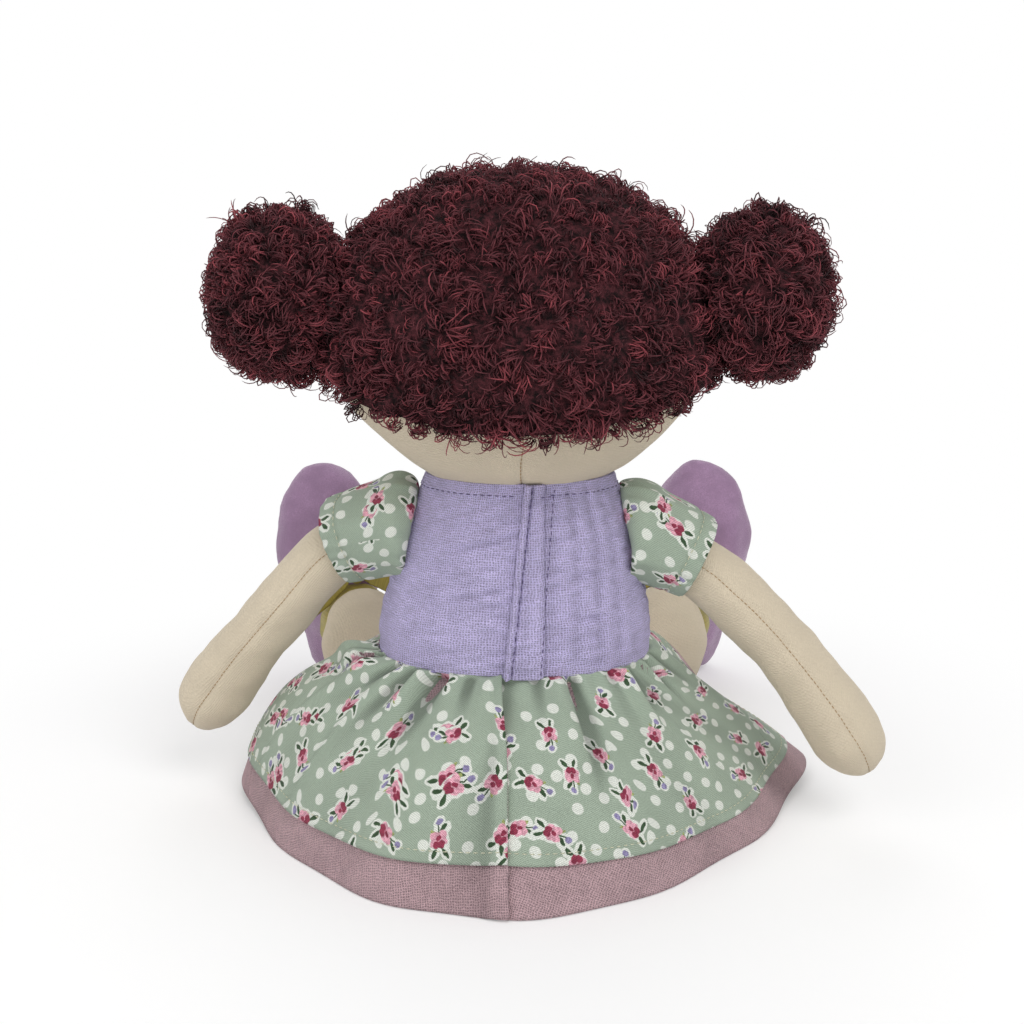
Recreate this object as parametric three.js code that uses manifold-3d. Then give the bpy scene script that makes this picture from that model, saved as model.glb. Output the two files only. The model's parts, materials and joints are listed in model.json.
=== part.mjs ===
// A seated rag doll with a flared dress, bun hair and velour shoes, as an assembly of its sewn pieces.
// Millimetres, +Z up. The doll sits on the floor z = 0 and faces -Y; its own left side is +X.
// The frame's origin lies on the floor under the middle of the whole doll.
import * as THREE from "three";
import { mergeVertices } from "three/addons/utils/BufferGeometryUtils.js";
import Module from "manifold-3d";

const wasm = await Module();
wasm.setup();

// General clearances and cloth.
const GAP = 0.3; // between neighbours that touch on the real doll
const CLOTH = 1.4; // one hemmed layer of the dress
const BODICE_CLOTH = 2; // double gauze and its lining
const TAPE = 0.5; // one half of the hook and loop fastener
const FLOOR = 0;

// Torso: full widths, depths as a share of width, and the heights where they are measured.
const HIP_WIDTH = 100;
const HIP_HEIGHT = 30;
const WAIST_WIDTH = 98;
const WAIST_HEIGHT = 74;
const CHEST_WIDTH = 88;
const SHOULDER_WIDTH = 66;
const NECKLINE_HEIGHT = 143;
const CHEST_HEIGHT = NECKLINE_HEIGHT - 35;
const TORSO_DEPTH = 63;
const SHOULDER_DEPTH = 42;
const TORSO_TOP = NECKLINE_HEIGHT - 5;
const SEAT_ROUNDING = 16;
const SHOULDER_ROUNDING = 16;

// Neck and head.
const NECK_RADIUS = 16;
const NECK_DEPTH_IN_TORSO = 18;
const HEAD_BOTTOM = NECKLINE_HEIGHT;
const NOD_HEIGHT = HEAD_BOTTOM + 15; // centre of the neck's round top, on which the head nods
const NOD_FREEDOM = 15; // degrees that the head's socket opens on each side
const SOCKET_RUNS_OUT = 10; // how far the socket's cutter reaches below the head
const HEAD_WIDTH = 147;
const HEAD_DEPTH = 94;
const HEAD_BELOW_CHEEKS = 49;
const HEAD_ABOVE_CHEEKS = 62;
const CHEEK_FULLNESS = 1.75; // exponent of the head's outline below its widest level
const CROWN_FULLNESS = 1.9;

// Hair: a cap with its edge in one tilted plane, and a ball on each side.
const HAIR_PILE = 8.5;
const HAIR_BACK_EDGE = HEAD_BOTTOM + 23;
const HAIR_FRONT_EDGE = HEAD_BOTTOM + 83;
const BUN_OUT = 88.5;
const BUN_BACK = 8;
const BUN_HEIGHT = HEAD_BOTTOM + 71;
const BUN_WIDTH = 58;
const BUN_DEPTH = 62;
const BUN_TALL = 70;

// Face, embroidered.
const EYE_SPREAD = 25;
const EYE_HEIGHT = HEAD_BOTTOM + 47;
const EYE_WIDTH = 9;
const EYE_TALL = 11;
const NOSE_HEIGHT = HEAD_BOTTOM + 37;
const NOSE_WIDTH = 7;
const NOSE_TALL = 5;
const MOUTH_HEIGHT = HEAD_BOTTOM + 28;
const MOUTH_WIDTH = 20;
const MOUTH_CURVE = 4;
const STITCH_RELIEF = 1.2;

// Arms. Each starts flat at its seam in the torso's side and bends down to the hand.
const SHOULDER_OUT = 43;
const SHOULDER_HEIGHT = NECKLINE_HEIGHT - 20;
const ARM_LENGTH = 125; // seam to the centre of the hand
const ARM_DROP_LEFT = 45; // degrees below level, from the seam to the hand
const ARM_DROP_RIGHT = 44;
const ARM_FORWARD_LEFT = 20;
const ARM_FORWARD_RIGHT = -5;
const ARM_LEAVES_AT = 20; // degrees below level where the arm leaves the shoulder
const ARM_BEND_AT = 52;
const ARM_SEAM_WIDTH = 21;
const ARM_ROOT = 2.8; // how far inside the shoulder point the seam meets the torso
const ARM_ROOT_WIDTH = 2; // width that stays next to the torso while the arm turns
const ARM_UPPER_RADIUS = 12;
const ARM_ELBOW_RADIUS = 13.2;
const ARM_WRIST_RADIUS = 13;
const HAND_RADIUS = 15.5;

// Sleeves.
const ARMHOLE_RADIUS = 19;
const SLEEVE_HEAD_RADIUS = 20.5;
const SLEEVE_HEAD_LIFT_LEFT = 3; // the gathered head above the arm's seam
const SLEEVE_HEAD_LIFT_RIGHT = -1;
const SLEEVE_PUFF_RADIUS = 22.5;
const CUFF_RADIUS = 18;
const SLEEVE_LENGTH = 34;
const SLEEVE_ROOT = 22; // how far its path starts inside the body
const SLEEVE_LIFT = 3; // the cuff's centre above the arm's, because the arm lies low in it

// Back opening of the bodice.
const BACK_EDGE = 3; // x of the folded edge that shows
const FLAP_WIDTH = 12.5;
const TAPE_INSET = 1.5;
const TAPE_END_INSET = 4;
const TAPE_HINGE_INSET = 1; // room beside the flap's turned edge, which swings in as it opens

// Skirt: its slanting length, its plan at the hem, and the shape of its fall.
const HEM_BACK = 85;
const HEM_SIDE = 124;
const HEM_SIDE_FORWARD = 50; // how far in front of the middle the hem is widest
const HEM_FRONT = 122;
const LAP_CLEARANCE = 6; // the front hem above the thighs
const SKIRT_SHARE = 0.8; // the part of the fall that the print covers, above the underskirt's band
const SKIRT_FOLDS = 14;
const FOLD_DEPTH = 2;
const SLIT_TURN = 3; // degrees from the middle of the back to the slit
const HEM_DRIFT = 9; // how far the back of the hem is pushed to the doll's left, against the front
const HEM_NARROWING = 0.74; // width of the hem in front, as a share of its width at the sides
const SLIT_WIDTH = 1.6;
const SWELL = 6; // how far the fall bulges out from a straight line
const SWELL_LEFT = 8; // and how much more over the thigh on each side
const SWELL_RIGHT = 1;
const SKIRT_COLUMNS = 54;
const SKIRT_ROWS = 6;

// Legs, tabs and shoes.
const HIP_SPREAD = 22;
const HIP_HINGE_HEIGHT = 13;
const TAB_LENGTH = 12;
const TAB_WIDTH = 32;
const TAB_THICKNESS = 3;
const LEG_SPLAY_LEFT = 31; // degrees outwards
const LEG_SPLAY_RIGHT = 28;
const LEG_LENGTH = 118;
const THIGH_RADIUS = 19.5;
const ANKLE_RADIUS = 18;
const ANKLE_HEIGHT = 37;
const LEG_TAPER = 28; // length over which the flat top fills out
const FLAT_DEPTH = 0.5; // how deep a stuffed piece is flattened where it rests
const SHOE_HEIGHT = 111;
const SHOE_HEEL_WIDTH = 40;
const SHOE_TOE_WIDTH = 63;
const SHOE_THICKNESS = 38;
const SOLE_THICKNESS = 2.4;
const SOLE_INSET = 2;

// Ankle ribbons and bows.
const RIBBON_WIDTH = 10;
const RIBBON_THICKNESS = 1.2;
const BOW_LOOP = 32;
const BOW_LOOP_WIDTH = 15;
const BOW_LOOP_RISE = 46; // degrees
const BOW_TAIL = 27;
const BOW_TAIL_DROP = 28;
const BOW_LEAN = 22;
const BOW_THICKNESS = 2.4;
const KNOT_LENGTH = 6;

const UP = new THREE.Vector3(0, 0, 1);
const radians = THREE.MathUtils.degToRad;
const mix = THREE.MathUtils.lerp;
const smooth = THREE.MathUtils.smoothstep;

// Solids: from a closed three.js geometry to a manifold and back.
function solidOf(geometry) {
  const bare = geometry.clone();
  bare.deleteAttribute("normal");
  bare.deleteAttribute("uv");
  const merged = mergeVertices(bare, 1e-4);
  const triVerts = new Uint32Array(merged.index.array);
  const vertProperties = merged.attributes.position.array;
  const solid = new wasm.Manifold(new wasm.Mesh({ numProp: 3, vertProperties, triVerts }));
  if (solid.volume() > 0) return solid;
  for (let i = 0; i < triVerts.length; i += 3) {
    [triVerts[i], triVerts[i + 1]] = [triVerts[i + 1], triVerts[i]];
  }
  return new wasm.Manifold(new wasm.Mesh({ numProp: 3, vertProperties, triVerts }));
}

function geometryOf(solid) {
  const { vertProperties, triVerts, numProp, numVert } = solid.getMesh();
  const positions = new Float32Array(numVert * 3);
  for (let i = 0; i < numVert; i++) {
    positions.set(vertProperties.subarray(i * numProp, i * numProp + 3), i * 3);
  }
  const geometry = new THREE.BufferGeometry();
  geometry.setAttribute("position", new THREE.BufferAttribute(positions, 3));
  geometry.setIndex(new THREE.BufferAttribute(triVerts, 1));
  geometry.computeVertexNormals();
  return geometry;
}

function box(minX, maxX, minY, maxY, minZ, maxZ) {
  const geometry = new THREE.BoxGeometry(maxX - minX, maxY - minY, maxZ - minZ);
  geometry.translate((minX + maxX) / 2, (minY + maxY) / 2, (minZ + maxZ) / 2);
  return solidOf(geometry);
}

// Everything above the floor.
const FAR = 400;
const aboveFloor = box(-FAR, FAR, -FAR, FAR, FLOOR, FAR);

// A smooth curve of value against place through a few stations, each [place, value].
function through(stations) {
  const slope = (i) => {
    const before = stations[Math.max(i - 1, 0)];
    const after = stations[Math.min(i + 1, stations.length - 1)];
    return (after[1] - before[1]) / (after[0] - before[0]);
  };
  return (place) => {
    const last = stations.length - 1;
    if (place <= stations[0][0]) return stations[0][1];
    if (place >= stations[last][0]) return stations[last][1];
    const i = stations.findIndex((station) => station[0] > place) - 1;
    const [from, to] = [stations[i], stations[i + 1]];
    const span = to[0] - from[0];
    const t = (place - from[0]) / span;
    const ease = t * t * (3 - 2 * t);
    const leave = t * (1 - t) * (1 - t) * slope(i) * span;
    const arrive = t * t * (t - 1) * slope(i + 1) * span;
    return mix(from[1], to[1], ease) + leave + arrive;
  };
}

// A closed skin over rings of equally many points, its two ends closed to their middles.
function skin(rings) {
  const count = rings[0].length;
  const middle = (ring) =>
    ring.reduce((sum, p) => sum.add(p), new THREE.Vector3()).multiplyScalar(1 / ring.length);
  const points = rings.flat();
  const first = points.push(middle(rings[0])) - 1;
  const last = points.push(middle(rings[rings.length - 1])) - 1;
  const index = [];
  for (let r = 0; r < rings.length - 1; r++) {
    for (let i = 0; i < count; i++) {
      const a = r * count + i;
      const b = r * count + ((i + 1) % count);
      index.push(a, b, a + count, b, b + count, a + count);
    }
  }
  for (let i = 0; i < count; i++) {
    const next = (i + 1) % count;
    const top = (rings.length - 1) * count;
    index.push(first, next, i);
    index.push(last, top + i, top + next);
  }
  const geometry = new THREE.BufferGeometry().setFromPoints(points);
  geometry.setIndex(index);
  return solidOf(geometry);
}

// An ellipse of points at one height.
function level(z, halfWidth, halfDepth, sides) {
  return Array.from({ length: sides }, (_, i) => {
    const turn = (2 * Math.PI * i) / sides;
    return new THREE.Vector3(halfWidth * Math.cos(turn), halfDepth * Math.sin(turn), z);
  });
}

// Evenly spread shares from 0 to 1.
function shares(steps) {
  return Array.from({ length: steps + 1 }, (_, k) => k / steps);
}

// A stuffed tube along a curve, with a ring at each share of it.
// section(u) gives its half width, level, and its half height.
function stuffedTube(curve, section, stations, sides) {
  const rings = stations.map((u) => {
    const centre = curve.getPoint(u);
    const along = curve.getTangent(u);
    const side = UP.clone().cross(along).normalize();
    const up = along.clone().cross(side);
    const [wide, tall] = section(u);
    return Array.from({ length: sides }, (_, i) => {
      const turn = (2 * Math.PI * i) / sides;
      return centre
        .clone()
        .addScaledVector(side, wide * Math.cos(turn))
        .addScaledVector(up, tall * Math.sin(turn));
    });
  });
  return skin(rings);
}

// A solid of revolution about an upright axis, from [radius, z] pairs that start and end on it.
function turned(profile, sides) {
  const geometry = new THREE.LatheGeometry(
    profile.map(([radius, z]) => new THREE.Vector2(radius, z)),
    sides,
  );
  geometry.rotateX(Math.PI / 2);
  return solidOf(geometry);
}

function ball(x, y, z, wide, deep, tall, sides, rows) {
  const geometry = new THREE.SphereGeometry(1, sides, rows);
  geometry.rotateX(Math.PI / 2);
  geometry.scale(wide, deep, tall);
  geometry.translate(x, y, z);
  return solidOf(geometry);
}

// The dressed outline of the body: half width and half depth at a height.
const bodyHalfWidth = through([
  [FLOOR, HIP_WIDTH / 2 - 2],
  [HIP_HEIGHT, HIP_WIDTH / 2],
  [WAIST_HEIGHT, WAIST_WIDTH / 2],
  [CHEST_HEIGHT, CHEST_WIDTH / 2],
  [NECKLINE_HEIGHT, SHOULDER_WIDTH / 2],
]);
const bodyHalfDepth = through([
  [HIP_HEIGHT, TORSO_DEPTH / 2],
  [WAIST_HEIGHT, TORSO_DEPTH / 2],
  [CHEST_HEIGHT, (TORSO_DEPTH * CHEST_WIDTH) / WAIST_WIDTH / 2],
  [NECKLINE_HEIGHT, SHOULDER_DEPTH / 2],
]);

// The body's outline between two heights, grown outwards, with square ends.
const BODY_SIDES = 28;
function bodyColumn(low, high, grow) {
  const rows = Math.max(2, Math.ceil((high - low) / 12));
  const rings = Array.from({ length: rows + 1 }, (_, k) => {
    const z = mix(low, high, k / rows);
    return level(z, bodyHalfWidth(z) + grow, bodyHalfDepth(z) + grow, BODY_SIDES);
  });
  return skin(rings);
}

// The stuffed torso: the same outline, drawn in to a flat seat and to round shoulders.
const SEAT_SHARE = 0.55; // width of the flat seat, as a share of the hips
const TORSO_SIDES = 26;
const TORSO_LEVELS = [0, 0.02, 0.05, 0.09, 0.14, 0.24, 0.38, 0.54, 0.7, 0.82, 0.91, 0.96, 0.985, 0.997];
function stuffedTorso(grow) {
  const rings = TORSO_LEVELS.map((share) => {
    const z = share * TORSO_TOP;
    const under = Math.max(0, 1 - z / SEAT_ROUNDING);
    const over = Math.max(0, 1 - (TORSO_TOP - z) / SHOULDER_ROUNDING);
    const seat = Math.sqrt(1 - (1 - SEAT_SHARE ** 2) * under ** 2);
    const draw = seat * Math.sqrt(1 - over ** 2);
    const lift = over > 0.5 ? grow : 0;
    const wide = bodyHalfWidth(z) * draw + grow;
    return level(z + lift, wide, bodyHalfDepth(z) * draw + grow, TORSO_SIDES);
  });
  return skin(rings);
}

function neckSolid(grow) {
  const bottom = TORSO_TOP - NECK_DEPTH_IN_TORSO - grow;
  const radius = NECK_RADIUS + grow;
  const domeSteps = 6;
  const dome = Array.from({ length: domeSteps + 1 }, (_, k) => {
    const turn = (k / domeSteps) * (Math.PI / 2);
    return [k === domeSteps ? 0 : radius * Math.cos(turn), NOD_HEIGHT + radius * Math.sin(turn)];
  });
  return turned([[0, bottom], [radius, bottom], ...dome], 24);
}

// The head's socket sits on the neck's round top and is wide enough below it for the nod.
function headSocket() {
  const radius = NECK_RADIUS + GAP;
  const opening = radians(NOD_FREEDOM);
  const wide = radius / Math.cos(opening);
  const bottom = HEAD_BOTTOM - SOCKET_RUNS_OUT;
  const flare = wide + (NOD_HEIGHT - bottom) * Math.tan(opening);
  const domeSteps = 6;
  const dome = Array.from({ length: domeSteps + 1 }, (_, k) => {
    const turn = (k / domeSteps) * (Math.PI / 2);
    return [k === domeSteps ? 0 : wide * Math.cos(turn), NOD_HEIGHT + radius * Math.sin(turn)];
  });
  return turned([[0, bottom], [flare, bottom], ...dome], 24);
}

// The head: a wide oval, widest low down at the cheeks.
const CHEEK_HEIGHT = HEAD_BOTTOM + HEAD_BELOW_CHEEKS;
function headShare(z) {
  const below = z < CHEEK_HEIGHT;
  const reach = below ? HEAD_BELOW_CHEEKS : HEAD_ABOVE_CHEEKS;
  const fullness = below ? CHEEK_FULLNESS : CROWN_FULLNESS;
  const t = Math.min(1, Math.abs(z - CHEEK_HEIGHT) / reach);
  return (1 - t ** fullness) ** (1 / fullness);
}

function stuffedHead(grow, sides = 28, rows = 14) {
  const rings = Array.from({ length: rows + 1 }, (_, k) => {
    const turn = Math.PI * (0.045 + (0.91 * k) / rows);
    const rise = -Math.cos(turn);
    const reach = rise < 0 ? HEAD_BELOW_CHEEKS : HEAD_ABOVE_CHEEKS;
    const share = headShare(CHEEK_HEIGHT + rise * reach);
    const z = CHEEK_HEIGHT + rise * (reach + grow);
    return level(z, (HEAD_WIDTH / 2) * share + grow, (HEAD_DEPTH / 2) * share + grow, sides);
  });
  return skin(rings);
}

// Where the face's surface lies at a place across and up it.
function faceDepth(x, z) {
  const share = headShare(z);
  return -(HEAD_DEPTH / 2) * Math.sqrt(Math.max(0, share ** 2 - (x / (HEAD_WIDTH / 2)) ** 2));
}

function hairCap(outer, inner) {
  const rise = HAIR_FRONT_EDGE - HAIR_BACK_EDGE;
  const reach = HEAD_DEPTH;
  const plane = new THREE.BoxGeometry(FAR, FAR, FAR);
  plane.translate(0, 0, FAR / 2);
  plane.rotateX(-Math.atan2(rise, reach));
  plane.translate(0, HEAD_DEPTH / 2, HAIR_BACK_EDGE);
  return outer.subtract(inner).intersect(solidOf(plane));
}

function embroideredOval(x, z, wide, tall) {
  const depth = faceDepth(x, z);
  return ball(x, depth, z, wide / 2, STITCH_RELIEF + GAP, tall / 2, 12, 6);
}

function mouth() {
  const points = Array.from({ length: 9 }, (_, k) => {
    const across = (k / 8 - 0.5) * MOUTH_WIDTH;
    const z = MOUTH_HEIGHT + MOUTH_CURVE * ((2 * across) / MOUTH_WIDTH) ** 2;
    return new THREE.Vector3(across, faceDepth(across, z), z);
  });
  const section = new THREE.Shape();
  section.absarc(0, 0, STITCH_RELIEF, 0, 2 * Math.PI);
  const geometry = new THREE.ExtrudeGeometry(section, {
    extrudePath: new THREE.CatmullRomCurve3(points),
    steps: 8,
    curveSegments: 3,
    bevelEnabled: false,
  });
  return solidOf(geometry);
}

// Arms and sleeves. side is 1 for the doll's left and -1 for its right.
function shoulderPoint(side) {
  return new THREE.Vector3(side * SHOULDER_OUT, 0, SHOULDER_HEIGHT);
}

function armDirection(side, drop, forward) {
  const down = Math.sin(radians(drop));
  const level = Math.cos(radians(drop));
  const ahead = radians(forward);
  return new THREE.Vector3(side * level, -down * Math.sin(ahead), -down * Math.cos(ahead));
}

function armCurve(side) {
  const forward = side > 0 ? ARM_FORWARD_LEFT : ARM_FORWARD_RIGHT;
  const start = shoulderPoint(side);
  const drop = side > 0 ? ARM_DROP_LEFT : ARM_DROP_RIGHT;
  const bend = start.clone().addScaledVector(armDirection(side, ARM_LEAVES_AT, forward), ARM_BEND_AT);
  const hand = start.clone().addScaledVector(armDirection(side, drop, forward), ARM_LENGTH);
  const tip = hand.clone().addScaledVector(hand.clone().sub(bend).normalize(), HAND_RADIUS);
  const root = start.clone().add(new THREE.Vector3(-side * ARM_ROOT, 0, 0));
  return new THREE.QuadraticBezierCurve3(root, bend, tip);
}

const armRadius = through([
  [0.14, ARM_UPPER_RADIUS],
  [0.5, ARM_ELBOW_RADIUS],
  [0.68, ARM_WRIST_RADIUS],
  [0.88, HAND_RADIUS],
]);
const ARM_FILLS_BY = 0.16; // share of the arm over which its flat end fills out
const HAND_ROUNDS_FROM = 0.86;
const HAND_CROWDING = 1.35; // how much closer the rings lie at the round hand
const ARM_ROOT_WIDENS_BY = 0.06; // share over which the seam's end spreads to its full width

function arm(side) {
  const section = (u) => {
    const fill = Math.min(1, u / ARM_FILLS_BY);
    const round = Math.max(0, (u - HAND_ROUNDS_FROM) / (1 - HAND_ROUNDS_FROM));
    const tip = Math.sqrt(Math.max(0.02, 1 - round ** 2.2));
    const radius = armRadius(u) * tip;
    const spread = mix(ARM_ROOT_WIDTH, ARM_SEAM_WIDTH, Math.min(1, u / ARM_ROOT_WIDENS_BY));
    return [mix(spread / 2, radius, fill), mix(TAB_THICKNESS / 2, radius, Math.sqrt(fill))];
  };
  const crowded = shares(16).map((share) => 1 - (1 - share) ** HAND_CROWDING);
  const stations = [0, ARM_ROOT_WIDENS_BY, ...crowded.slice(1)];
  return stuffedTube(armCurve(side), section, stations, 16);
}

function sleeve(side, taken) {
  const armPath = armCurve(side);
  const start = shoulderPoint(side);
  const reach = (ARM_ROOT + SLEEVE_LENGTH) / armPath.getLength();
  const lift = (share) => new THREE.Vector3(0, 0, SLEEVE_LIFT * share);
  const headLift = side > 0 ? SLEEVE_HEAD_LIFT_LEFT : SLEEVE_HEAD_LIFT_RIGHT;
  const inside = start.clone().add(new THREE.Vector3(-side * SLEEVE_ROOT, 0, headLift));
  const path = (extra) =>
    new THREE.CatmullRomCurve3([
      inside,
      start.clone().add(lift(headLift / SLEEVE_LIFT / 2)),
      armPath.getPoint(reach * 0.5).add(lift(0.6)),
      armPath.getPoint(reach).add(lift(1)),
      armPath.getPoint(reach + extra).add(lift(1)),
    ]);
  const whole = path(0.004);
  const radius = through([
    [0, SLEEVE_HEAD_RADIUS],
    [0.45, SLEEVE_HEAD_RADIUS],
    [0.72, SLEEVE_PUFF_RADIUS],
    [1, CUFF_RADIUS],
  ]);
  const outer = stuffedTube(whole, (u) => [radius(u), radius(u)], shares(7), 18);
  const bore = stuffedTube(
    path(0.06),
    (u) => [radius(u) - CLOTH, radius(u) - CLOTH],
    shares(7),
    18,
  );
  return outer.subtract(bore).subtract(taken);
}

// The bodice's layers over the torso, counted outwards as distances from the body's outline.
const PANEL_IN = GAP;
const PANEL_OUT = PANEL_IN + BODICE_CLOTH;
const LOOP_IN = PANEL_OUT + GAP;
const LOOP_OUT = LOOP_IN + TAPE;
const HOOK_IN = LOOP_OUT + GAP;
const HOOK_OUT = HOOK_IN + TAPE;
const FLAP_IN = HOOK_OUT + GAP;
const FLAP_OUT = FLAP_IN + CLOTH;
const FLAP_LIP_OUT = PANEL_OUT + GAP + CLOTH;
const HINGE_X = BACK_EDGE - FLAP_WIDTH;

function bodyLayer(inner, outer, minX, maxX, minY, maxY, low, high) {
  const wrap = bodyColumn(low, high, outer).subtract(bodyColumn(low - 1, high + 1, inner));
  return wrap.intersect(box(minX, maxX, minY, maxY, low - 1, high + 1));
}

function armholes() {
  const geometry = new THREE.CylinderGeometry(ARMHOLE_RADIUS, ARMHOLE_RADIUS, 2 * FAR, 24);
  geometry.rotateZ(Math.PI / 2);
  geometry.translate(0, 0, SHOULDER_HEIGHT);
  return solidOf(geometry);
}

function bodicePanel(minX, maxX, minY, maxY) {
  const panel = bodyLayer(PANEL_IN, PANEL_OUT, minX, maxX, minY, maxY, WAIST_HEIGHT + GAP, NECKLINE_HEIGHT);
  return panel.subtract(armholes());
}

function backStrip(inner, outer, minX, maxX, endInset) {
  const low = WAIST_HEIGHT + GAP + endInset;
  const high = NECKLINE_HEIGHT - endInset;
  return bodyLayer(inner, outer, minX, maxX, 0, FAR, low, high);
}

const FLAP_HEEL = 1.6; // width of the flap's turned edge beside the hinge line
function backFlap() {
  const start = HINGE_X + GAP;
  const lip = backStrip(PANEL_OUT + GAP, FLAP_LIP_OUT, start, start + FLAP_HEEL, 0);
  const heel = backStrip(PANEL_OUT + GAP, FLAP_OUT, start + FLAP_HEEL / 2, start + FLAP_HEEL, 0);
  const sheet = backStrip(FLAP_IN, FLAP_OUT, start + FLAP_HEEL / 2, BACK_EDGE, 0);
  return lip.add(heel).add(sheet);
}

// Skirt. The turn runs round the waist from the slit at the back; the fall runs down from 0 to 1.
const THIGH_TOP = 2 * THIGH_RADIUS - FLAT_DEPTH;
const FRONT_HEM_HEIGHT = THIGH_TOP + LAP_CLEARANCE + 2 * CLOTH;
const HEM_LIFT = 0.6; // the hem just clear of the floor

// How far the hem has climbed from the floor onto the lap, at a turn in radians from the back.
const hemRise = through([
  [0.85, 0],
  [1.4, 0.12],
  [1.8, 0.2],
  [2.1, 0.5],
  [2.35, 0.9],
  [2.6, 1],
]);

function hemPoint(turn) {
  const [across, back] = [Math.sin(turn), Math.cos(turn)];
  const ahead = Math.acos(back);
  const reach = mix(HEM_BACK, HEM_FRONT, Math.max(0, -back) ** 2);
  const width = HEM_SIDE * mix(1, HEM_NARROWING, smooth(ahead, 1.5, 2.4));
  const x = width * across + HEM_DRIFT * (Math.max(0, back) - 1 / 3);
  const y = reach * back - HEM_SIDE_FORWARD * across ** 2;
  return new THREE.Vector3(x, y, mix(HEM_LIFT, FRONT_HEM_HEIGHT, hemRise(ahead)));
}

const SKIRT_LAYER = PANEL_OUT; // the skirt's outer face meets the bodice's
function waistPoint(turn) {
  const wide = bodyHalfWidth(WAIST_HEIGHT) + SKIRT_LAYER;
  const deep = bodyHalfDepth(WAIST_HEIGHT) + SKIRT_LAYER;
  return new THREE.Vector3(wide * Math.sin(turn), deep * Math.cos(turn), WAIST_HEIGHT);
}

// How far the fall swells out from a straight line: most over the thighs at the sides.
function swellAt(turn) {
  const side = Math.sin(turn) ** 2;
  const front = Math.max(0, -Math.cos(turn));
  const sideSwell = mix(SWELL_RIGHT, SWELL_LEFT, (1 + Math.sin(turn)) / 2);
  return new THREE.Vector3(sideSwell * side, SWELL, SWELL * (1 - front) + sideSwell * side);
}

function foldWave(turn) {
  return Math.cos(SKIRT_FOLDS * turn + 0.8) + 0.45 * Math.cos((SKIRT_FOLDS - 5) * turn + 2);
}

function skirtPoint(turn, fall) {
  const waist = waistPoint(turn);
  const hem = hemPoint(turn);
  const outwards = new THREE.Vector3(Math.sin(turn), Math.cos(turn), 0);
  const swell = swellAt(turn);
  const bulge = 4 * fall * (1 - fall);
  const point = waist.lerp(hem, fall);
  point.x += outwards.x * swell.x * bulge;
  point.y += outwards.y * swell.y * bulge;
  point.z += swell.z * bulge;
  const fold = FOLD_DEPTH * foldWave(turn) * fall ** 1.2;
  point.addScaledVector(outwards, fold * 0.8);
  point.z += fold * 0.6 * (1 - fall);
  return point;
}

function skirtNormal(turn, fall) {
  const step = 0.01;
  const low = Math.min(fall, 1 - step);
  const down = skirtPoint(turn, low + step).sub(skirtPoint(turn, low));
  const round = skirtPoint(turn + step, fall).sub(skirtPoint(turn - step, fall));
  return down.cross(round).normalize().negate();
}

// A layer of the skirt between two depths below its outer face and two places on its fall.
function skirtLayer(outer, inner, from, to, rows) {
  const start = radians(SLIT_TURN);
  const slit = SLIT_WIDTH / HEM_BACK / 2;
  const face = (depth) =>
    Array.from({ length: SKIRT_COLUMNS + 1 }, (_, c) => {
      const turn = mix(start + slit, start - slit + 2 * Math.PI, c / SKIRT_COLUMNS);
      return Array.from({ length: rows + 1 }, (_, r) => {
        const fall = mix(from, to, r / rows);
        const point = skirtPoint(turn, fall).addScaledVector(skirtNormal(turn, fall), -depth);
        point.z = Math.min(Math.max(point.z, FLOOR + HEM_LIFT / 2), WAIST_HEIGHT - depth / 4);
        return point;
      });
    });
  const [out, back] = [face(outer), face(inner)];
  // Each column of the layer is one closed loop: down its outer face and up its inner one.
  const loops = out.map((column, c) => [...column, ...back[c].slice().reverse()]);
  return skin(loops);
}

// Legs. Each group of leg pieces is described along its own length, from the hip outwards.
function hipPoint(side) {
  const across = HIP_SPREAD / bodyHalfWidth(HIP_HINGE_HEIGHT);
  const front = -bodyHalfDepth(HIP_HINGE_HEIGHT) * Math.sqrt(1 - across ** 2);
  return new THREE.Vector3(side * HIP_SPREAD, front - 2, HIP_HINGE_HEIGHT);
}

function legDirection(side) {
  const splay = radians(side > 0 ? LEG_SPLAY_LEFT : LEG_SPLAY_RIGHT);
  return new THREE.Vector3(side * Math.sin(splay), -Math.cos(splay), 0);
}

function legStart(side) {
  return hipPoint(side).add(new THREE.Vector3(0, -TAB_LENGTH, 0));
}

function anklePoint(side) {
  const point = legStart(side).addScaledVector(legDirection(side), LEG_LENGTH);
  point.z = ANKLE_HEIGHT;
  return point;
}

// The flat, unstuffed top of the leg, from inside the torso's seam to the leg's slanted end.
function hipTab(side) {
  const half = TAB_WIDTH / 2;
  const thin = TAB_THICKNESS / 2;
  const corners = [
    [-half, -thin],
    [half, -thin],
    [half, thin],
    [-half, thin],
  ];
  const ring = (centre, across) =>
    corners.map(([out, up]) => centre.clone().addScaledVector(across, out).add(new THREE.Vector3(0, 0, up)));
  const rear = hipPoint(side).add(new THREE.Vector3(0, TAB_LENGTH, 0));
  const front = legStart(side).addScaledVector(legDirection(side), -GAP);
  return skin([
    ring(rear, new THREE.Vector3(-1, 0, 0)),
    ring(front, legDirection(side).cross(UP)),
  ]);
}

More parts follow.
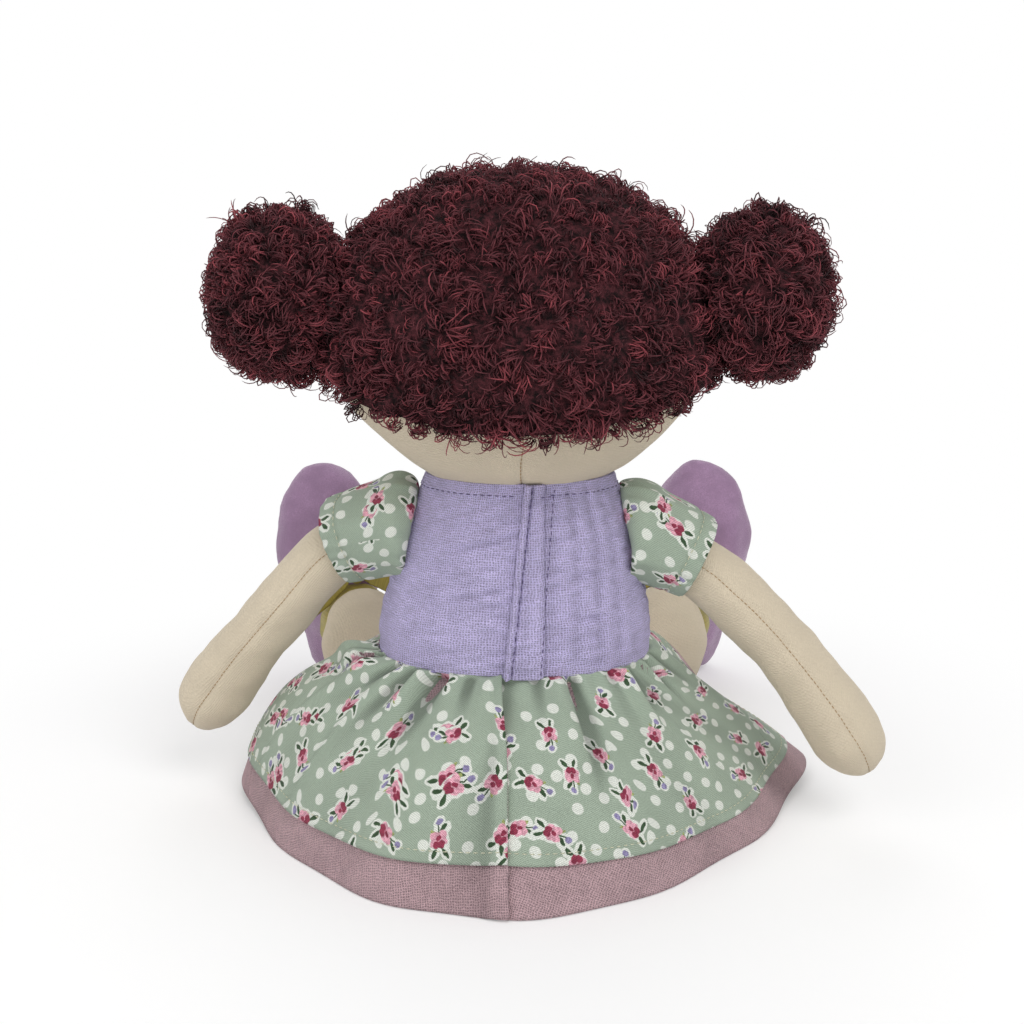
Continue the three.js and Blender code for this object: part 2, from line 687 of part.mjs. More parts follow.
const ANKLE_STRAIGHT = 0.86; // from here the leg runs level and evenly thick
function leg(side) {
  const start = legStart(side);
  const end = anklePoint(side);
  const rest = THIGH_RADIUS - FLAT_DEPTH;
  const height = through([
    [0, start.z],
    [LEG_TAPER / LEG_LENGTH, rest],
    [0.55, rest],
    [ANKLE_STRAIGHT, ANKLE_HEIGHT],
    [1, ANKLE_HEIGHT],
  ]);
  const radius = through([
    [LEG_TAPER / LEG_LENGTH, THIGH_RADIUS],
    [0.5, THIGH_RADIUS],
    [ANKLE_STRAIGHT, ANKLE_RADIUS],
    [1, ANKLE_RADIUS],
  ]);
  const fillsBy = LEG_TAPER / LEG_LENGTH;
  const rings = [0, 0.04, 0.1, 0.17, 0.24, 0.36, 0.5, 0.62, 0.74, ANKLE_STRAIGHT, 1].map((u) => {
    const fill = Math.min(1, u / fillsBy);
    const wide = mix(TAB_WIDTH / 2, radius(u), fill);
    const tall = mix(TAB_THICKNESS / 2, radius(u), Math.sin((fill * Math.PI) / 2));
    const centre = start.clone().lerp(end, u);
    centre.z = height(u);
    return crossRing(side, centre, 16, (turn) => [wide * Math.cos(turn), tall * Math.sin(turn)]);
  });
  return skin(rings).intersect(aboveFloor);
}

// A ring of points square to the leg; shape(turn) gives across and up.
function crossRing(side, centre, sides, shape) {
  const across = legDirection(side).cross(UP);
  return Array.from({ length: sides }, (_, i) => {
    const [out, up] = shape((2 * Math.PI * i) / sides);
    return centre.clone().addScaledVector(across, out).add(new THREE.Vector3(0, 0, up));
  });
}

// The shoe's outline as seen along the leg: narrow at the heel, wide and round at the toe.
function shoeOutline(turn, inset) {
  const half = SHOE_HEIGHT / 2;
  const heel = SHOE_HEEL_WIDTH / 2;
  const toe = SHOE_TOE_WIDTH / 2;
  const up = Math.sin(turn);
  const width = mix(heel, toe, (1 + up) / 2);
  return [(width - inset) * Math.cos(turn), half - ANKLE_HEIGHT + (half - inset) * up];
}

const SHOE_SIDES = 24;
function shoe(side) {
  const start = anklePoint(side);
  const shares = [0, 0.06, 0.16, 0.3, 0.46, 0.62, 0.8, 0.93, 1];
  const rings = shares.map((share) => {
    const swell = Math.sin(Math.min(1, share / 0.8) * (Math.PI / 2)) ** 1.15;
    const edge = share > 0.8 ? 2.5 * ((share - 0.8) / 0.2) ** 2 : 0;
    const centre = start.clone().addScaledVector(legDirection(side), GAP + share * SHOE_THICKNESS);
    return crossRing(side, centre, SHOE_SIDES, (turn) => {
      const [out, up] = shoeOutline(turn, edge);
      const collar = ANKLE_RADIUS;
      return [mix(collar * Math.cos(turn), out, swell), mix(collar * Math.sin(turn), up, swell)];
    });
  });
  return skin(rings).intersect(aboveFloor);
}

function sole(side) {
  const rings = [0, 1].map((share) => {
    const out = 2 * GAP + SHOE_THICKNESS + share * SOLE_THICKNESS;
    const centre = anklePoint(side).addScaledVector(legDirection(side), out);
    return crossRing(side, centre, SHOE_SIDES, (turn) => shoeOutline(turn, SOLE_INSET + 1 + share));
  });
  return skin(rings);
}

// A round column along the leg at the ankle, between two distances from the shoe's opening.
function ankleColumn(side, radius, from, to) {
  return skin(
    [from, to].map((out) => {
      const centre = anklePoint(side).addScaledVector(legDirection(side), out);
      return crossRing(side, centre, 20, (turn) => [radius * Math.cos(turn), radius * Math.sin(turn)]);
    }),
  );
}

const RIBBON_OUT = ANKLE_RADIUS + GAP + RIBBON_THICKNESS;
function ankleRibbon(side) {
  const outer = ankleColumn(side, RIBBON_OUT, -RIBBON_WIDTH - GAP, -GAP);
  return outer.subtract(ankleColumn(side, ANKLE_RADIUS + GAP, -RIBBON_WIDTH - 2, 2));
}

// The bow, drawn flat in its own plane: a loop and a notched tail on each side of a narrow waist.
const BOW_WAIST = 2; // half the height of the ribbon inside the knot
function bowShape() {
  const base = KNOT_LENGTH / 2 + 2 * GAP;
  const aim = (degrees) => (along, across) => {
    const turn = radians(degrees);
    const x = base + along * Math.cos(turn) - across * Math.sin(turn);
    return [x, along * Math.sin(turn) + across * Math.cos(turn)];
  };
  const [loop, tail] = [aim(BOW_LOOP_RISE), aim(-BOW_TAIL_DROP)];
  const [loopHalf, tailHalf] = [BOW_LOOP_WIDTH / 2, RIBBON_WIDTH * 0.4];
  const right = new THREE.Path();
  right.moveTo(...tail(0, -BOW_WAIST));
  right.lineTo(...tail(BOW_TAIL, -tailHalf));
  right.lineTo(...tail(BOW_TAIL - tailHalf, 0));
  right.lineTo(...tail(BOW_TAIL, tailHalf));
  right.lineTo(base + BOW_WAIST, 0);
  const [half, end] = [BOW_LOOP / 2, BOW_LOOP];
  right.bezierCurveTo(...loop(half, -loopHalf), ...loop(end, -1.5 * loopHalf), ...loop(end, 0));
  right.bezierCurveTo(...loop(end, 1.5 * loopHalf), ...loop(half, loopHalf), ...loop(0, BOW_WAIST));
  const points = right.getPoints(5);
  const mirrored = points.map((point) => new THREE.Vector2(-point.x, point.y)).reverse();
  return new THREE.Shape([...points, ...mirrored]);
}

function placeBow(geometry, side) {
  const across = legDirection(side).cross(UP);
  const place = new THREE.Matrix4();
  const away = legDirection(side).negate();
  geometry.rotateX(radians(-BOW_LEAN));
  place.makeBasis(across.clone().negate(), UP, away);
  geometry.applyMatrix4(place);
  const seat = anklePoint(side).addScaledVector(legDirection(side), -RIBBON_WIDTH / 2);
  seat.z += RIBBON_OUT + GAP + KNOT_LENGTH / 2 + 1;
  geometry.translate(seat.x, seat.y, seat.z);
  return solidOf(geometry);
}

function bow(side) {
  const geometry = new THREE.ExtrudeGeometry(bowShape(), {
    depth: BOW_THICKNESS,
    curveSegments: 7,
    bevelEnabled: false,
  });
  geometry.translate(0, 0, -BOW_THICKNESS / 2);
  const underneath = ankleColumn(side, RIBBON_OUT + GAP, -3 * RIBBON_WIDTH, GAP);
  return placeBow(geometry, side).subtract(underneath);
}

const KNOT_WALL = 1.6;
function bowKnot(side) {
  const tall = BOW_WAIST + GAP + KNOT_WALL;
  const deep = BOW_THICKNESS / 2 + GAP + KNOT_WALL;
  const outer = new THREE.SphereGeometry(1, 10, 6);
  outer.scale(KNOT_LENGTH / 2, tall * 1.15, deep * 1.15);
  const inner = new THREE.BoxGeometry(2 * KNOT_LENGTH, 2 * (BOW_WAIST + GAP), BOW_THICKNESS + 2 * GAP);
  const underneath = ankleColumn(side, RIBBON_OUT + GAP, -3 * RIBBON_WIDTH, GAP);
  return placeBow(outer, side).subtract(placeBow(inner, side)).subtract(underneath);
}

// Materials: colours as the photographed cloths have them.
const cloth = (color, roughness) => new THREE.MeshStandardMaterial({ color, roughness, metalness: 0 });
const materials = {
  jersey: cloth(0xdccfb4, 0.95),
  hair: cloth(0x5a1a26, 1),
  thread: cloth(0x3a2a26, 0.8),
  blush: cloth(0xb8616a, 0.8),
  gauze: cloth(0xa79fc8, 0.95),
  floral: cloth(0xa3ae9f, 0.9),
  pinkGauze: cloth(0xb98a96, 0.95),
  tape: cloth(0xcfc6dc, 1),
  velour: cloth(0x9a7aa6, 0.9),
  ribbon: cloth(0xa3933f, 0.6),
};

// One piece of the doll, in the group of the part of the body that it moves with.
function addPiece(group, name, solid, material) {
  const geometry = geometryOf(solid);
  const origin = group.getWorldPosition(new THREE.Vector3());
  geometry.translate(-origin.x, -origin.y, -origin.z);
  const mesh = new THREE.Mesh(geometry, material);
  mesh.name = name;
  group.add(mesh);
}

function addGroup(parent, x, y, z) {
  const group = new THREE.Group();
  const origin = parent.getWorldPosition(new THREE.Vector3());
  group.position.set(x - origin.x, y - origin.y, z - origin.z);
  parent.add(group);
  return group;
}

const doll = new THREE.Group();

// Body and dress.
const torsoKeepOut = stuffedTorso(GAP);
const neckKeepOut = neckSolid(GAP);
const bodiceKeepOut = bodyColumn(WAIST_HEIGHT - 5, NECKLINE_HEIGHT, PANEL_OUT + GAP);
addPiece(doll, "torso", stuffedTorso(0).subtract(neckKeepOut), materials.jersey);
addPiece(doll, "bodice_front", bodicePanel(-FAR, FAR, -FAR, -GAP / 2), materials.gauze);
addPiece(doll, "bodice_back_left", bodicePanel(HINGE_X + GAP, FAR, GAP / 2, FAR), materials.gauze);
addPiece(doll, "bodice_back_right", bodicePanel(-FAR, HINGE_X, GAP / 2, FAR), materials.gauze);
const tapeFrom = HINGE_X + FLAP_HEEL + TAPE_HINGE_INSET;
const tapeTo = BACK_EDGE - TAPE_INSET;
const loopTape = backStrip(LOOP_IN, LOOP_OUT, tapeFrom, tapeTo, TAPE_END_INSET);
addPiece(doll, "loop_tape", loopTape, materials.tape);
const skirtSolid = skirtLayer(0, CLOTH, 0, SKIRT_SHARE, SKIRT_ROWS);
addPiece(doll, "skirt", skirtSolid, materials.floral);
const underDepth = CLOTH + GAP;
const underskirt = skirtLayer(underDepth, underDepth + CLOTH, 0.02, 1, SKIRT_ROWS + 1);
addPiece(doll, "underskirt", underskirt, materials.pinkGauze);

const flapGroup = addGroup(doll, HINGE_X, TORSO_DEPTH / 2, CHEST_HEIGHT);
addPiece(flapGroup, "back_flap", backFlap(), materials.gauze);
const hookTape = backStrip(HOOK_IN, HOOK_OUT, tapeFrom, tapeTo, TAPE_END_INSET);
addPiece(flapGroup, "hook_tape", hookTape, materials.tape);

// Neck and head.
const neckGroup = addGroup(doll, 0, 0, TORSO_TOP);
addPiece(neckGroup, "neck", neckSolid(0), materials.jersey);
const headGroup = addGroup(neckGroup, 0, 0, NOD_HEIGHT);
const headKeepOut = stuffedHead(GAP);
const hairOuter = stuffedHead(HAIR_PILE);
addPiece(headGroup, "head", stuffedHead(0).subtract(headSocket()), materials.jersey);
addPiece(headGroup, "hair_cap", hairCap(hairOuter, headKeepOut), materials.hair);
const nose = embroideredOval(0, NOSE_HEIGHT, NOSE_WIDTH, NOSE_TALL);
addPiece(headGroup, "nose", nose.subtract(headKeepOut), materials.blush);
addPiece(headGroup, "mouth", mouth().subtract(headKeepOut), materials.blush);

for (const [sideName, side] of [
  ["left", 1],
  ["right", -1],
]) {
  const [bunWide, bunDeep, bunTall] = [BUN_WIDTH / 2, BUN_DEPTH / 2, BUN_TALL / 2];
  const bun = ball(side * BUN_OUT, BUN_BACK, BUN_HEIGHT, bunWide, bunDeep, bunTall, 18, 10);
  const hairKeepOut = stuffedHead(HAIR_PILE + GAP);
  addPiece(headGroup, `bun_${sideName}`, bun.subtract(hairKeepOut), materials.hair);
  const eye = embroideredOval(side * EYE_SPREAD, EYE_HEIGHT, EYE_WIDTH, EYE_TALL);
  addPiece(headGroup, `eye_${sideName}`, eye.subtract(headKeepOut), materials.thread);

  const shoulder = shoulderPoint(side);
  const sleeveGroup = addGroup(doll, shoulder.x, shoulder.y, shoulder.z);
  addPiece(sleeveGroup, `sleeve_${sideName}`, sleeve(side, bodiceKeepOut), materials.floral);
  const armGroup = addGroup(sleeveGroup, shoulder.x, shoulder.y, shoulder.z);
  addPiece(armGroup, `arm_${sideName}`, arm(side).subtract(torsoKeepOut), materials.jersey);

  const hip = hipPoint(side);
  const tabGroup = addGroup(doll, hip.x, hip.y, hip.z);
  addPiece(tabGroup, `hip_tab_${sideName}`, hipTab(side).subtract(torsoKeepOut), materials.jersey);
  const legGroup = addGroup(tabGroup, hip.x, hip.y, hip.z);
  addPiece(legGroup, `leg_${sideName}`, leg(side), materials.jersey);
  addPiece(legGroup, `shoe_${sideName}`, shoe(side), materials.velour);
  addPiece(legGroup, `sole_${sideName}`, sole(side), materials.velour);
  addPiece(legGroup, `ankle_ribbon_${sideName}`, ankleRibbon(side), materials.ribbon);
  addPiece(legGroup, `bow_${sideName}`, bow(side), materials.ribbon);
  addPiece(legGroup, `bow_knot_${sideName}`, bowKnot(side), materials.ribbon);
}

// The origin goes to the floor under the middle of the whole doll.
const extent = new THREE.Box3().setFromObject(doll);
const middle = extent.getCenter(new THREE.Vector3());
doll.position.set(-middle.x, -middle.y, -extent.min.z);

export default doll;
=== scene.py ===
import json
import math

import bmesh
import bpy
import numpy as np
from bpy.props import FloatProperty, FloatVectorProperty, IntProperty, PointerProperty
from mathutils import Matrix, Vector
from mathutils.bvhtree import BVHTree


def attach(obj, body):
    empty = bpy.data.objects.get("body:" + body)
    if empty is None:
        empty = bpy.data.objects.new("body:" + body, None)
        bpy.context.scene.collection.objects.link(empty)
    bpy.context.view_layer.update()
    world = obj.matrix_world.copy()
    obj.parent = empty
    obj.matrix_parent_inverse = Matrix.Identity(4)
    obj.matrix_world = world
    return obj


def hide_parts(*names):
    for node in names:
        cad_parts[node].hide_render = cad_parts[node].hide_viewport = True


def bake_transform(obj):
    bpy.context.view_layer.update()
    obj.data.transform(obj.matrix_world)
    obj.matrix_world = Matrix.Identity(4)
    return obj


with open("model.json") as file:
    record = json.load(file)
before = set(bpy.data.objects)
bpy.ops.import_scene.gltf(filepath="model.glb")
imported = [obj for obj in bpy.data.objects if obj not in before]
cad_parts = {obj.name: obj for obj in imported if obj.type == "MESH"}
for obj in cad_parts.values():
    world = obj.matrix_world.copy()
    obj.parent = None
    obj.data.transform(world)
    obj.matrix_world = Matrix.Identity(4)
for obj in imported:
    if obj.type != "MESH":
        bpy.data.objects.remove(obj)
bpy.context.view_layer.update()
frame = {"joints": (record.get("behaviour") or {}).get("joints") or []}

bl_info = {
    "name": "Rag doll",
    "version": (1, 0, 0),
    "blender": (4, 5, 0),
    "location": "3D View > Sidebar > Rag doll",
    "description": "Builds a stuffed rag doll in a printed dress, piece by piece",
    "category": "Object",
}

MM = 0.001
WHITE = (1.0, 1.0, 1.0, 1.0)
JOINTS = {joint["name"]: joint for joint in frame["joints"]}
SIDES = {"left": 1, "right": -1}

# The doll's upright middle line: lengths below are millimetres from it and from the floor.
MIDDLE = np.array([*JOINTS["neck_turn"]["pos_m"][:2], 0.0])


def color_setting(name, description, red, green, blue):
    return FloatVectorProperty(
        name=name, description=description, subtype="COLOR", size=3, min=0, max=1, default=(red, green, blue)
    )


def length_setting(name, description, metres):
    return FloatProperty(
        name=name, description=description, default=metres, min=0, unit="LENGTH", precision=4
    )


class DollSizes(bpy.types.PropertyGroup):
    """Lengths that a maker would change, in metres"""

    cloth: length_setting("Cloth", "Thickness of one hemmed layer of the dress", 0.0012)
    stitch: length_setting("Stitch pitch", "From one topstitch to the next", 0.0028)
    thread: length_setting("Thread", "Radius of the sewing thread", 0.00022)
    sprig: length_setting("Sprig spacing", "Distance between sprigs of the print", 0.0215)
    dot: length_setting("Dot", "Radius of the print's plain dots", 0.0022)
    dot_spacing: length_setting("Dot spacing", "Distance between plain dots of the print", 0.0096)
    yarn: length_setting("Yarn", "Radius of one fibre of the hair's pile", 0.00024)
    lock_gap: length_setting("Lock gap", "Least distance between two locks of the hair", 0.0040)
    lock_radius: length_setting("Lock radius", "Radius of the disc that a lock grows from", 0.0023)
    hem_stitch_up: length_setting("Hem stitch height", "From the hem's edge to its topstitch", 0.0045)
    lock_fibres: IntProperty(name="Fibres", description="Fibres in one lock of the hair", default=15, min=3)


class DollColors(bpy.types.PropertyGroup):
    """Colours of the doll's cloths and threads, as they look in daylight"""

    jersey: color_setting("Jersey", "Body, arms, legs and head", 0.875, 0.820, 0.726)
    # Darker fibres, and also the painted shade in the pile's depths: at the fibres' roots and, darker still,
    # on the backing.
    hair_dark_and_shaded: color_setting("Hair, deep", "Depths of the hair's pile", 0.150, 0.080, 0.092)
    hair: color_setting("Hair", "Most fibres of the hair", 0.400, 0.195, 0.222)
    hair_light: color_setting("Hair, light", "Fibres that catch the light", 0.640, 0.300, 0.330)
    gauze: color_setting("Gauze", "The bodice's double gauze", 0.800, 0.760, 0.920)
    sage: color_setting("Sage", "Ground of the print", 0.635, 0.692, 0.624)
    underskirt: color_setting("Underskirt", "Dusty pink gauze", 0.795, 0.668, 0.690)
    velour: color_setting("Velour", "Shoes", 0.700, 0.570, 0.700)
    ribbon: color_setting("Ribbon", "Ankle ribbons and bows", 0.640, 0.580, 0.250)
    bodice_thread: color_setting("Bodice thread", "Topstitching on the gauze", 0.400, 0.350, 0.520)
    hem_thread: color_setting("Hem thread", "Topstitching on the print", 0.860, 0.860, 0.760)
    seam_thread: color_setting("Seam thread", "Stitches on the body's seams", 0.700, 0.580, 0.430)
    eye: color_setting("Eyes", "Embroidery thread of the eyes", 0.190, 0.130, 0.115)
    lips: color_setting("Nose and mouth", "Embroidery thread of the nose and mouth", 0.700, 0.360, 0.370)


def sizes():
    return bpy.context.scene.doll_sizes


def linear(color):
    """A colour as it is seen, turned into the one that shaders work in."""
    seen = np.array(color, dtype=float)
    bent = ((seen + 0.055) / 1.055) ** 2.4
    return (*np.where(seen <= 0.04045, seen / 12.92, bent), 1.0)


def rgb(name):
    """One of the doll's colours, as shaders want it."""
    return linear(getattr(bpy.context.scene.doll_colors, name))


# Finishes: a small set of calls that add nodes to one material.
class Finish:
    def __init__(self, material):
        self.material = material
        self.tree = material.node_tree
        self.shader = self.tree.nodes["Principled BSDF"]

    def put(self, socket, value):
        if isinstance(value, bpy.types.NodeSocket):
            self.tree.links.new(value, socket)
        else:
            socket.default_value = value

    def node(self, kind, *values, **settings):
        node = self.tree.nodes.new(kind)
        for key, value in settings.items():
            setattr(node, key, value)
        for socket, value in zip(node.inputs, values):
            if value is not None:
                self.put(socket, value)
        return node

    def coordinates(self, output="Object"):
        """The place on a piece, or with UV the place in its flat cut, in metres."""
        return self.node("ShaderNodeTexCoord").outputs[output]

    def axes(self, vector):
        return self.node("ShaderNodeSeparateXYZ", vector).outputs

    def math(self, operation, *values):
        return self.node("ShaderNodeMath", *values, operation=operation).outputs[0]

    def vector(self, operation, *values, result="Vector"):
        return self.node("ShaderNodeVectorMath", *values, operation=operation).outputs[result]

    def scaled(self, vector, across, along):
        return self.vector("MULTIPLY", vector, (across, along, 1.0))

    def placed(self, vector, place, turn, size):
        """The vector as seen from a place, turned by an angle and measured in sizes."""
        node = self.node("ShaderNodeMapping", vector, place, None, None, vector_type="TEXTURE")
        node.inputs["Rotation"].default_value = (0, 0, turn)
        node.inputs["Scale"].default_value = size
        return node.outputs[0]

    def noise(self, vector, pitch, detail=2.0, roughness=0.5):
        """Soft noise around 0.5 with features of one pitch, in metres."""
        node = self.node("ShaderNodeTexNoise")
        self.put(node.inputs["Vector"], vector)
        node.inputs["Scale"].default_value = 1.0 / pitch
        node.inputs["Detail"].default_value = detail
        node.inputs["Roughness"].default_value = roughness
        return node.outputs["Fac"]

    def cells(self, vector, pitch, randomness=1.0, dimensions="3D"):
        node = self.node("ShaderNodeTexVoronoi", voronoi_dimensions=dimensions)
        self.put(node.inputs["Vector"], vector)
        node.inputs["Scale"].default_value = 1.0 / pitch
        node.inputs["Randomness"].default_value = randomness
        return node

    def ramp(self, value, low, high, start=0.0, end=1.0):
        """A smooth step between two values of the input."""
        node = self.node("ShaderNodeMapRange", value, low, high, start, end, interpolation_type="SMOOTHSTEP")
        return node.outputs[0]

    def mix(self, share, first, second):
        node = self.node("ShaderNodeMix", data_type="RGBA")
        self.put(node.inputs["Factor"], share)
        colors = [socket for socket in node.inputs if socket.type == "RGBA"]
        self.put(colors[0], first)
        self.put(colors[1], second)
        return next(socket for socket in node.outputs if socket.type == "RGBA")

    def between(self, value, low, high, first, second):
        """The first color where a value is low, the second where it is high."""
        return self.mix(self.ramp(value, low, high), first, second)

    def wobbled(self, vector, pitch, reach):
        """The vector, pushed about softly in its plane."""
        noise = self.node("ShaderNodeTexNoise", vector)
        noise.inputs["Scale"].default_value = 1.0 / pitch
        return self.vector("MULTIPLY_ADD", noise.outputs["Color"], (reach, reach, 0), vector)

    def waves(self, value, pitch):
        """A sine of a length in metres, from -1 to 1."""
        return self.math("SINE", self.math("MULTIPLY", value, 2 * math.pi / pitch))

    def bump(self, height, distance, strength=1.0):
        node = self.node("ShaderNodeBump")
        self.put(node.inputs["Height"], height)
        node.inputs["Distance"].default_value = distance
        node.inputs["Strength"].default_value = strength
        self.tree.links.new(node.outputs[0], self.shader.inputs["Normal"])

    def shaded(self, color, shade):
        """The color, made darker or lighter by a shade around 1."""
        gray = self.node("ShaderNodeCombineXYZ", shade, shade, shade).outputs[0]
        return self.vector("MULTIPLY", color, gray)

    def painted_crease_shade(self, color):
        """The color with painted shade down in a sheet's creases, where shade falls, and painted light along
        its ridges.
        """
        hollow = self.node("ShaderNodeAttribute", attribute_name="hollow").outputs["Fac"]
        return self.shaded(color, self.ramp(hollow, -0.45, 1.3, 1.06, 0.58))

    def color(self, value):
        self.put(self.shader.inputs["Base Color"], value)

    def sheen(self, weight, roughness, tint):
        self.shader.inputs["Sheen Weight"].default_value = weight
        self.shader.inputs["Sheen Roughness"].default_value = roughness
        self.shader.inputs["Sheen Tint"].default_value = tint


def new_finish(name, roughness):
    material = bpy.data.materials.new(name)
    material.use_nodes = True
    finish = Finish(material)
    finish.shader.inputs["Roughness"].default_value = roughness
    finish.shader.inputs["Specular IOR Level"].default_value = 0.25
    return finish


def tinted(color, factor):
    """A colour made darker or lighter by a factor."""
    return (*[min(1.0, channel * factor) for channel in color[:3]], 1.0)


# Meshes from arrays of millimetres.
def mix(first, second, share):
    return first + (second - first) * share


def smoothstep(value, low, high):
    """0 up to the low value and 1 from the high one, with a smooth rise between."""
    t = np.clip((value - low) / (high - low), 0, 1)
    return t * t * (3 - 2 * t)


def unit(vectors):
    return vectors / np.maximum(np.linalg.norm(vectors, axis=-1, keepdims=True), 1e-9)


def through(stations):
    """A smooth curve of value against place through a few stations, each (place, value)."""
    places, values = np.array(stations, dtype=float).T
    before = np.maximum(np.arange(len(places)) - 1, 0)
    after = np.minimum(np.arange(len(places)) + 1, len(places) - 1)
    slopes = (values[after] - values[before]) / (places[after] - places[before])

    def value(place):
        place = np.clip(place, places[0], places[-1])
        i = np.clip(np.searchsorted(places, place, side="right") - 1, 0, len(places) - 2)
        span = places[i + 1] - places[i]
        t = (place - places[i]) / span
        ease = smoothstep(t, 0, 1)
        leave = t * (1 - t) ** 2 * slopes[i] * span
        arrive = t * t * (t - 1) * slopes[i + 1] * span
        return values[i] * (1 - ease) + values[i + 1] * ease + leave + arrive

    return value


def bell(away, width):
    """1 in the middle, fading to 0 on both sides over a width."""
    return np.exp(-((away / width) ** 2))


def within_half_turn(angle):
    """The same angle, between minus and plus half a turn."""
    return np.angle(np.exp(1j * angle))


def in_metres(points):
    """Millimetres from the doll's middle line, as the scene's own metres."""
    return points * MM + MIDDLE


def in_millimetres(points):
    return (points - MIDDLE) / MM


def add_piece(name, points, quads, material, uvs=None):
    """A mesh object from points in millimetres from the doll's middle line."""
    mesh = bpy.data.meshes.new(name)
    points = in_metres(np.asarray(points, dtype=float).reshape(-1, 3))
    quads = np.asarray(quads, dtype=np.int32)
    mesh.vertices.add(len(points))
    mesh.vertices.foreach_set("co", points.ravel())
    corners = quads.shape[1]
    mesh.loops.add(quads.size)
    mesh.loops.foreach_set("vertex_index", quads.ravel())
    mesh.polygons.add(len(quads))
    mesh.polygons.foreach_set("loop_start", np.arange(0, quads.size, corners, dtype=np.int32))
    mesh.update(calc_edges=True)
    if uvs is not None:
        layer = mesh.uv_layers.new(name="cut")
        layer.data.foreach_set("uv", (np.asarray(uvs, dtype=float) * MM).ravel())
    mesh.polygons.foreach_set("use_smooth", np.full(len(quads), True))
    mesh.materials.append(material)
    piece = bpy.data.objects.new(name, mesh)
    bpy.context.scene.collection.objects.link(piece)
    return piece


def grid_normals(grid, wrap=False):
    along = np.gradient(grid, axis=0)
    if wrap:
        across = (np.roll(grid, -1, axis=1) - np.roll(grid, 1, axis=1)) / 2
    else:
        across = np.gradient(grid, axis=1)
    return unit(np.cross(along, across))


def hollows(grid, normals, wrap):
    """How deep each point lies below those beside it, in millimetres."""
    columns = np.arange(grid.shape[1])
    depth = np.zeros(grid.shape[:2])
    for reach in (3, 6, 10, 15):
        sides = [columns - reach, columns + reach]
        sides = [side % len(columns) if wrap else np.clip(side, 0, len(columns) - 1) for side in sides]
        around = (grid[:, sides[0]] + grid[:, sides[1]]) / 2
        depth += ((around - grid) * normals).sum(axis=-1) / 4
    return depth


def closed(table):
    """A table with its first column once more at its end."""
    return np.concatenate([table, table[:, :1]], axis=1)


def cell_corners(table):
    """The numbers at the four corners of each cell of a table."""
    return np.stack([table[:-1, :-1], table[1:, :-1], table[1:, 1:], table[:-1, 1:]], axis=-1)


def cloth(name, grid, flat, inner, material, keep=None, wrap=False, outwards=None):
    """A sheet with two faces and a rim, over a grid of points; flat holds where each lay when it was cut.

    inner is the second face's grid, or the thickness; outwards is a point on the sheet's inner side.
    """
    rows, columns = grid.shape[:2]
    normals = grid_normals(grid, wrap)
    if outwards is not None:
        normals = normals * np.sign(((grid - np.array(outwards)) * normals).sum())
    if np.ndim(inner) == 0:
        inner = grid - normals * inner
    normals = normals * np.sign(((grid - inner) * normals).sum())
    hollow = hollows(grid, normals, wrap).ravel()
    index = np.arange(rows * columns).reshape(rows, columns)
    if wrap:
        index = closed(index)
    places = np.arange(index.size).reshape(index.shape)
    quads, spots = cell_corners(index), cell_corners(places)
    if keep is not None:
        quads, spots = quads[keep], spots[keep]
    quads, spots = quads.reshape(-1, 4), spots.reshape(-1, 4)
    edges = np.stack([quads, np.roll(quads, -1, axis=1)], axis=-1).reshape(-1, 2)
    edge_spots = np.stack([spots, np.roll(spots, -1, axis=1)], axis=-1).reshape(-1, 2)
    low, high = edges.min(axis=1), edges.max(axis=1)
    count = rows * columns
    _, first, uses = np.unique(low * count + high, return_index=True, return_counts=True)
    border = first[uses == 1]
    rim = np.stack(
        [edges[border, 1], edges[border, 0], edges[border, 0] + count, edges[border, 1] + count], axis=1
    )
    rim_spots = edge_spots[border][:, [1, 0, 0, 1]]
    points = np.concatenate([grid.reshape(-1, 3), inner.reshape(-1, 3)])
    faces = np.concatenate([quads, quads[:, ::-1] + count, rim])
    uvs = flat.reshape(-1, 2)[np.concatenate([spots, spots[:, ::-1], rim_spots])]
    used, faces = np.unique(faces, return_inverse=True)
    piece = add_piece(name, points[used], faces.reshape(-1, 4), material, uvs)
    # Each point's depth in its crease; the gauze and print finishes use it to paint shade into creases and
    # light onto ridges.
    attribute = piece.data.attributes.new("hollow", "FLOAT", "POINT")
    attribute.data.foreach_set("value", np.tile(hollow, 2)[used])
    face_outwards(piece)
    return piece


def face_outwards(piece):
    form = bmesh.new()
    form.from_mesh(piece.data)
    bmesh.ops.recalc_face_normals(form, faces=form.faces)
    form.to_mesh(piece.data)
    form.free()


UPRIGHT = np.array([0.0, 0.0, 1.0])
SIDEWAYS = np.array([1.0, 0.0, 0.0])


def cross_ways(ways, upright):
    """Two ways across each of some ways, with the first level where upright is true."""
    side = unit(np.cross(np.where(upright, UPRIGHT, SIDEWAYS), ways))
    return side, np.cross(ways, side)


def tube_grid(line, wide, tall, turns):
    """Rings round a line: half width and half height per point, one column per turn."""
    tangents = unit(np.gradient(line, axis=0))
    side, up = cross_ways(tangents, abs(tangents[0, 2]) < 0.9)
    wide, tall = (np.broadcast_to(size, len(line))[:, None, None] for size in (wide, tall))
    across = np.cos(turns)[None, :, None] * side[:, None, :] * wide
    upwards = np.sin(turns)[None, :, None] * up[:, None, :] * tall
    return line[:, None, :] + across + upwards


def full_turn(count):
    return np.linspace(0, 2 * math.pi, count, endpoint=False)


def lengths_along(points):
    """How far each point of a line lies from its start, or each row of a grid from its first row."""
    steps = np.linalg.norm(np.diff(points, axis=0), axis=-1)
    return np.concatenate([np.zeros_like(steps[:1]), np.cumsum(steps, axis=0)])


def places_at(wanted, lengths, points):
    """Where a line is at the wanted lengths, given the length at each of its points."""
    return np.stack([np.interp(wanted, lengths, points[:, k]) for k in range(3)], axis=-1)


